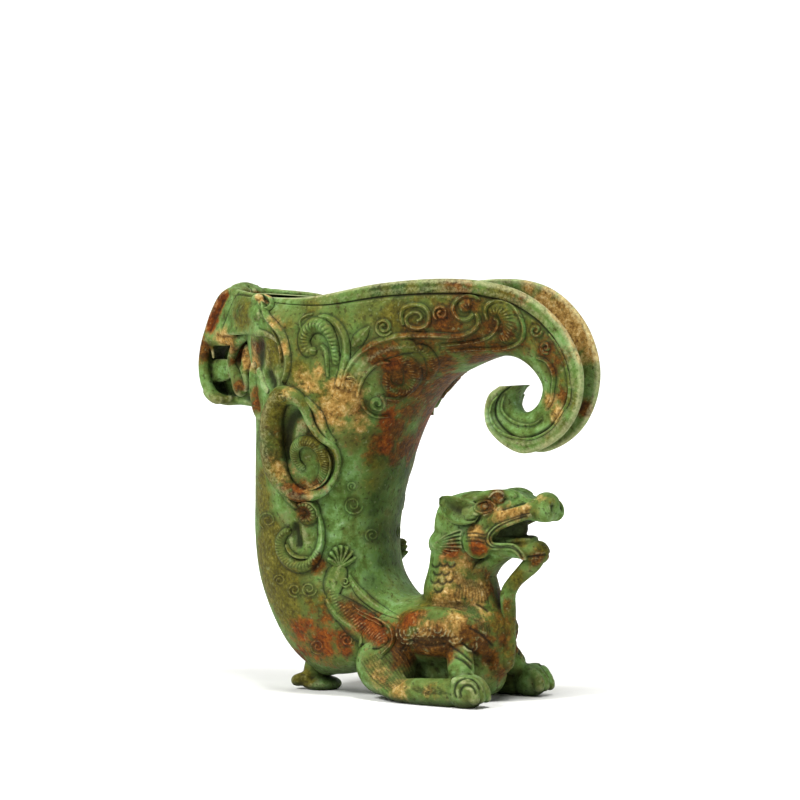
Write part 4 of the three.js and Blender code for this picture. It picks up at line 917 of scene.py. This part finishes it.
STAINS = {
    "olive": {
        1: [(262, 420, 6), (275, 580, 15), (265, 555, 11), (285, 608, 11), (270, 440, 9), (266, 470, 8),
            (273, 412, 7)],
        0.9: [(380, 291, 6), (405, 288, 6), (276, 398, 6), (325, 460, 6), (310, 441, 5)],
        0.8: [(262, 500, 9), (268, 530, 9), (410, 615, 9), (500, 620, 9), (435, 287, 6), (500, 292, 6),
              (415, 455, 8), (400, 320, 13), (490, 310, 11), (240, 312, 9), (272, 350, 10), (430, 605, 8),
              (205, 350, 7), (302, 676, 6)],
        0.7: [(262, 480, 8), (300, 370, 9), (325, 395, 9), (440, 300, 11), (530, 330, 9), (515, 580, 7),
              (545, 550, 6), (420, 350, 12)],
        0.6: [(320, 600, 9), (310, 310, 9), (340, 320, 9), (365, 315, 9), (395, 345, 9), (560, 360, 6),
              (570, 400, 6), (455, 620, 8), (480, 600, 8), (520, 545, 5), (530, 512, 5), (375, 300, 8),
              (408, 480, 7), (225, 400, 7), (300, 400, 7), (310, 600, 8), (300, 345, 10), (410, 300, 11),
              (510, 650, 8), (565, 380, 7)],
        0.55: [(506, 625, 9)],
        0.5: [(300, 560, 7), (335, 575, 8), (290, 500, 8), (300, 520, 6), (315, 360, 8), (450, 560, 8),
              (550, 500, 5), (370, 660, 6), (440, 690, 6), (330, 296, 5), (345, 555, 6), (290, 325, 9),
              (430, 690, 7), (535, 500, 5), (288, 550, 6)],
        0.4: [(548, 440, 6), (470, 660, 6), (470, 695, 6), (540, 680, 6), (455, 545, 5)],
        0.35: [(445, 535, 6), (460, 505, 6)],
    },
    # Dark patches: dark crust along the rim band, and painted shade on the horn's shaded flank, underside and by
    # the loops
    "dark_stain_and_shade": {
        0.7: [(400, 288, 6), (378, 291, 6), (415, 450, 8)],
        0.6: [(430, 286, 6), (268, 450, 6), (260, 440, 6), (402, 500, 9), (395, 530, 9), (405, 470, 9),
              (425, 425, 8), (445, 395, 8), (470, 370, 8), (290, 425, 5)],
        0.5: [(385, 560, 9), (375, 585, 8), (500, 356, 8), (340, 305, 8), (365, 305, 8), (420, 345, 8),
              (240, 305, 6), (270, 435, 6)],
        0.4: [(300, 310, 7), (345, 600, 6), (290, 655, 7), (410, 590, 7)],
    },
    "brown": {
        1: [(400, 640, 8), (425, 645, 9), (480, 646, 7), (240, 352, 6), (306, 512, 5), (585, 408, 4)],
        0.95: [(398, 375, 8), (487, 507, 5)],
        0.9: [(256, 348, 5), (440, 640, 9), (450, 380, 8), (480, 358, 7), (410, 368, 7), (440, 365, 9),
              (445, 322, 9), (470, 346, 9), (440, 650, 7), (405, 655, 7), (497, 496, 4), (295, 498, 5),
              (318, 565, 4), (535, 560, 4)],
        0.85: [(395, 430, 8), (405, 445, 7)],
        0.8: [(262, 344, 4), (233, 348, 4), (300, 490, 6), (410, 410, 9), (420, 390, 9), (244, 352, 4),
              (375, 352, 7), (400, 395, 7), (425, 375, 8), (430, 395, 9), (500, 348, 8), (545, 352, 6),
              (350, 610, 6), (468, 634, 7), (488, 655, 6)],
        0.75: [(490, 325, 7), (505, 335, 7), (552, 370, 5)],
        0.7: [(233, 360, 4), (203, 350, 6), (430, 632, 8), (375, 440, 8), (460, 340, 9), (478, 540, 6),
              (256, 352, 4), (392, 350, 7), (360, 408, 6), (465, 306, 7), (460, 289, 9), (505, 511, 4),
              (300, 655, 6), (395, 665, 4), (288, 486, 6), (318, 484, 5), (500, 670, 7)],
        0.6: [(238, 386, 5), (255, 405, 5), (325, 642, 9), (345, 650, 7), (305, 652, 7), (420, 620, 8),
              (470, 590, 8), (355, 440, 7), (430, 340, 9), (540, 340, 6), (556, 360, 5), (560, 395, 5),
              (500, 530, 4), (490, 520, 4), (520, 515, 4), (395, 458, 5), (425, 415, 7), (430, 322, 7),
              (520, 345, 6), (455, 596, 8), (500, 605, 7), (472, 572, 7), (490, 592, 7), (503, 618, 7),
              (486, 630, 7), (505, 640, 6)],
        0.55: [(320, 622, 10), (455, 575, 9)],
        0.5: [(460, 610, 7), (300, 425, 5), (410, 335, 9), (490, 300, 7), (520, 300, 6), (485, 575, 6),
              (443, 566, 6)],
        0.4: [(268, 410, 6), (370, 460, 6)],
        0.35: [(270, 395, 5), (268, 425, 9), (266, 458, 9)],
    },
    "rust": {
        1: [(214, 318, 4), (220, 303, 4), (217, 310, 4), (478, 549, 4.5)],
        0.9: [(212, 324, 3.5), (223, 297, 3.5), (410, 620, 4)],
        0.85: [(368, 625, 7)],
        0.8: [(382, 632, 6), (452, 552, 4)],
        0.75: [(320, 645, 11), (388, 420, 6)],
        0.7: [(300, 636, 8), (345, 640, 8), (385, 445, 5)],
        0.6: [(310, 628, 7), (395, 362, 5), (256, 394, 4), (300, 489, 4), (523, 558, 3)],
        0.5: [(440, 318, 5), (580, 338, 4), (385, 680, 5)],
        0.4: [(470, 600, 5)],
    },
    "ochre": {
        1: [(566, 303, 5), (580, 318, 6), (590, 336, 6), (263, 298, 3.5), (555, 312, 6), (570, 322, 7),
            (582, 334, 7), (543, 301, 5), (261, 294, 3), (250, 364, 4)],
        0.9: [(548, 291, 5), (545, 303, 4), (560, 315, 5), (572, 328, 5), (255, 361, 4.5), (345, 392, 8),
              (228, 338, 5), (475, 532, 3)],
        0.8: [(528, 285, 5), (580, 342, 5), (308, 384, 5), (590, 350, 5), (549, 402, 4), (556, 414, 4),
              (500, 516, 4), (513, 512, 4)],
        0.75: [(330, 414, 7)],
        0.7: [(596, 356, 4), (452, 578, 8), (398, 690, 6), (282, 345, 4)],
        0.6: [(586, 358, 5), (249, 352, 3), (222, 338, 5), (360, 424, 6), (320, 376, 5), (340, 425, 5),
              (441, 582, 6), (470, 592, 7), (440, 598, 6), (282, 474, 5), (378, 672, 6), (525, 507, 3),
              (290, 389, 4), (274, 322, 4)],
        0.5: [(458, 612, 7), (484, 612, 6), (460, 603, 6), (425, 626, 6), (450, 628, 6), (310, 490, 4),
              (425, 692, 3), (540, 498, 3), (488, 540, 3)],
    },
}
whole = skin(*casting)
for name, strengths in STAINS.items():
    spots = []
    for x, y, reach, amount in [(*patch, s) for s, patches in strengths.items() for patch in patches]:
        ray = sight(x, y)
        hit, normal, _, _ = whole.ray_cast(VIEW_FROM, ray)
        if hit:
            normal = normal if normal.dot(ray) < 0 else -normal
            for side in ([1, 1, 1], [1, -1, 1]):
                spots.append((np.array(hit) * side, np.array(normal) * side, reach * MM, amount))
    for piece in casting:
        co, facing = points(piece)
        stain = np.zeros(len(co))
        for place, normal, reach, amount in spots:
            share = amount * np.exp(-(((co - place) ** 2).sum(1) / reach ** 2))
            stain = np.maximum(stain, share * np.clip(facing @ normal * 1.2 + 0.5, 0, 1))
        mark(piece, name, stain)

bronze = bpy.data.materials.new("verdigris_bronze")
bronze.use_nodes = True
net = bronze.node_tree
shader = net.nodes["Principled BSDF"]
spot = node(net, "ShaderNodeTexCoord", {}).outputs["Object"]


def noise(scale, detail, roughness):
    """Noise in the crust, the finer the greater its scale"""
    inputs = {"Vector": spot, "Scale": scale, "Detail": detail, "Roughness": roughness}
    return node(net, "ShaderNodeTexNoise", inputs).outputs["Fac"]


def ranged(value, low, high, top=1.0):
    """The value stretched, from nothing at low to the top at high"""
    inputs = {"Value": value, "From Min": low, "From Max": high, "To Max": top}
    return node(net, "ShaderNodeMapRange", inputs).outputs["Result"]


def joined(operation, *values):
    """Values put together by an operation"""
    return node(net, "ShaderNodeMath", dict(enumerate(values)), operation=operation).outputs[0]


def covered(under, share, tint):
    """A colour with a share of it covered by the tint"""
    return node(net, "ShaderNodeMix", {0: share, 6: under, 7: tint}, data_type="RGBA").outputs[2]


# Blotches 7 mm across, flecks 2.6 mm and crust grains 1.1 mm
blotch = noise(145.0, 5.0, 0.6)
fleck = noise(380.0, 4.0, 0.65)
grain = noise(900.0, 3.0, 0.65)
broken = node(net, "ShaderNodeMix", {0: 0.35, 2: blotch, 3: fleck}).outputs[0]
mottle = node(net, "ShaderNodeMix", {0: 0.45, 2: fleck, 3: grain}).outputs[0]
worn_and_shaded = {}
for name in ("recess_dirt_and_shade", "edge", *STAINS):
    worn_and_shaded[name] = node(net, "ShaderNodeAttribute", {}, attribute_name=name).outputs["Fac"]
green = [(0.3, "#36330f"), (0.41, "#455922"), (0.5, "#587638"), (0.59, "#6e9056"), (0.72, "#99b38e")]
colour = node(net, "ShaderNodeValToRGB", {"Fac": broken}, green).outputs["Color"]
# A thin film of earth over two fifths of the crust
film = ranged(noise(62.0, 9.0, 0.72), 0.46, 0.64, 0.55)
colour = covered(colour, film, linear("#5c5226"))
# The dark tint is painted shade on the shaded flank and underside, and dark crust on the rim
tints = {"olive": [(0.34, "#322e06"), (0.48, "#4b470f"), (0.6, "#635e1e"), (0.72, "#827b3c")],
         "dark_stain_and_shade": [(0.34, "#1c2509"), (0.48, "#2c3d14"), (0.6, "#3d5220"), (0.72, "#56703a")],
         "brown": [(0.34, "#241303"), (0.46, "#432806"), (0.56, "#5f3b0c"), (0.68, "#7f561f")],
         "rust": [(0.34, "#331602"), (0.46, "#5a2a04"), (0.56, "#773c09"), (0.68, "#965a1f")],
         "ochre": [(0.34, "#4f3210"), (0.44, "#7d5c27"), (0.54, "#a07f42"), (0.68, "#c4ac78")]}
for name, stops in tints.items():
    tint = node(net, "ShaderNodeValToRGB", {"Fac": mottle}, stops).outputs["Color"]
    colour = covered(colour, ranged(joined("MULTIPLY_ADD", broken, 1.9, worn_and_shaded[name]), 1.24, 1.62), tint)
# Dark pinholes and pale grains, a millimetre or two across, and rubbed edges
speck = noise(620.0, 2.0, 0.5)
colour = covered(colour, ranged(speck, 0.61, 0.68, 0.6), linear("#2a220b"))
colour = covered(colour, ranged(speck, 0.36, 0.28, 0.22), linear("#96a274"))
colour = covered(colour, ranged(joined("MULTIPLY", worn_and_shaded["edge"], grain), 0.22, 0.62, 0.5), linear("#b9b88a"))
# Dirt in every cut, together with the painted shade that the same mark carries, and painted shade from ambient
# occlusion: in the corners 5 mm round the relief, and thin in the hollows, kept off the ochre patches
cut = ranged(worn_and_shaded["recess_dirt_and_shade"], 0.12, 0.85, 0.86)
corner_shade = node(net, "ShaderNodeAmbientOcclusion", {"Distance": 0.005}, samples=6).outputs["AO"]
hollow = node(net, "ShaderNodeAmbientOcclusion", {"Distance": 0.028}, samples=6).outputs["AO"]
hollow = joined("SUBTRACT", ranged(hollow, 0.5, 0.1, 0.65), worn_and_shaded["ochre"])
dirt_and_shade = joined("MAXIMUM", joined("MAXIMUM", cut, ranged(corner_shade, 0.8, 0.35, 0.75)), hollow)
colour = covered(colour, dirt_and_shade, linear("#171509"))
net.links.new(colour, shader.inputs["Base Color"])
rough = node(net, "ShaderNodeMapRange", {"Value": grain, "To Min": 0.55, "To Max": 0.85}).outputs["Result"]
net.links.new(rough, shader.inputs["Roughness"])
shader.inputs["Metallic"].default_value = 0.1
shader.inputs["Specular IOR Level"].default_value = 0.14
# Pits of 1.6 mm and the grain of the crust, as bump
pit = node(net, "ShaderNodeTexVoronoi", {"Vector": spot, "Scale": 620.0}).outputs["Distance"]
height = joined("ADD", joined("MULTIPLY", pit, blotch), grain)
bump = node(net, "ShaderNodeBump", {"Height": height, "Strength": 0.6, "Distance": 0.0008}).outputs["Normal"]
net.links.new(bump, shader.inputs["Normal"])
for piece in casting:
    piece.data.materials.append(bronze)
floor_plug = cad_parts["cup_floor"]
floor_plug.data.materials.clear()
floor_plug.data.materials.append(bronze)

# Studio: a wide pale paper dish as floor and backdrop, a large soft light from the upper left, one overhead, one
# for the backdrop and a weak one from behind. Plain, so that only the casting shows.
DISH_FLAT = 1.4
DISH_CURVE = 1.6
DISH_STEPS = 12
bm = bmesh.new()
bmesh.ops.create_circle(bm, cap_ends=False, radius=DISH_FLAT, segments=96)
rim = bm.edges[:]
bmesh.ops.contextual_create(bm, geom=rim)
for step in range(1, DISH_STEPS + 1):
    grown = bmesh.ops.extrude_edge_only(bm, edges=rim)["geom"]
    rim = [e for e in grown if isinstance(e, bmesh.types.BMEdge)]
    turn = step / DISH_STEPS * math.pi / 2
    for vertex in {v for e in rim for v in e.verts}:
        flat = Vector((vertex.co.x, vertex.co.y, 0)).normalized()
        vertex.co = flat * (DISH_FLAT + DISH_CURVE * math.sin(turn))
        vertex.co.z = DISH_CURVE * (1 - math.cos(turn))
floor = placed("floor", bm)
floor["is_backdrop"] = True
paper = bpy.data.materials.new("pale_backdrop_paper")
paper.use_nodes = True
sheet = paper.node_tree
spot = node(sheet, "ShaderNodeTexCoord", {}).outputs["Object"]
fibre = node(sheet, "ShaderNodeTexNoise", {"Vector": spot, "Scale": 40.0}).outputs["Fac"]
shade = node(sheet, "ShaderNodeValToRGB", {"Fac": fibre}, [(0.3, "#ebebe8"), (0.7, "#efefec")]).outputs["Color"]
sheet.links.new(shade, sheet.nodes["Principled BSDF"].inputs["Base Color"])
sheet.nodes["Principled BSDF"].inputs["Roughness"].default_value = 0.9
floor.data.materials.append(paper)
world = bpy.data.worlds.new("studio")
bpy.context.scene.world = world
world.use_nodes = True
world.node_tree.nodes["Background"].inputs["Color"].default_value = (1, 1, 1, 1)
world.node_tree.nodes["Background"].inputs["Strength"].default_value = 0.07
LAMPS = {"key": ((-0.55, -1.32, 1.3), (0, 0, 0.1), 0.5, 35), "top": ((0.5, -0.42, 1.72), (0, 0, 0.1), 0.6, 34),
         "backdrop_light": ((0.2, 0.9, 1.2), (-1.4, 2.4, 0.2), 1.2, 40),
         "back_light": ((-0.2, 1.5, 1.2), (0, 0, 0.1), 0.8, 5)}
for name, (place, aim, size, energy) in LAMPS.items():
    lamp = bpy.data.objects.new(name, bpy.data.lights.new(name, "AREA"))
    lamp.data.energy = energy
    lamp.data.size = size
    lamp.location = place
    lamp.rotation_euler = (Vector(aim) - Vector(place)).to_track_quat("-Z", "Y").to_euler()
    bpy.context.scene.collection.objects.link(lamp)

size = {"cad": [list(c) for c in cad_box], "visual": [list(c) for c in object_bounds()]}
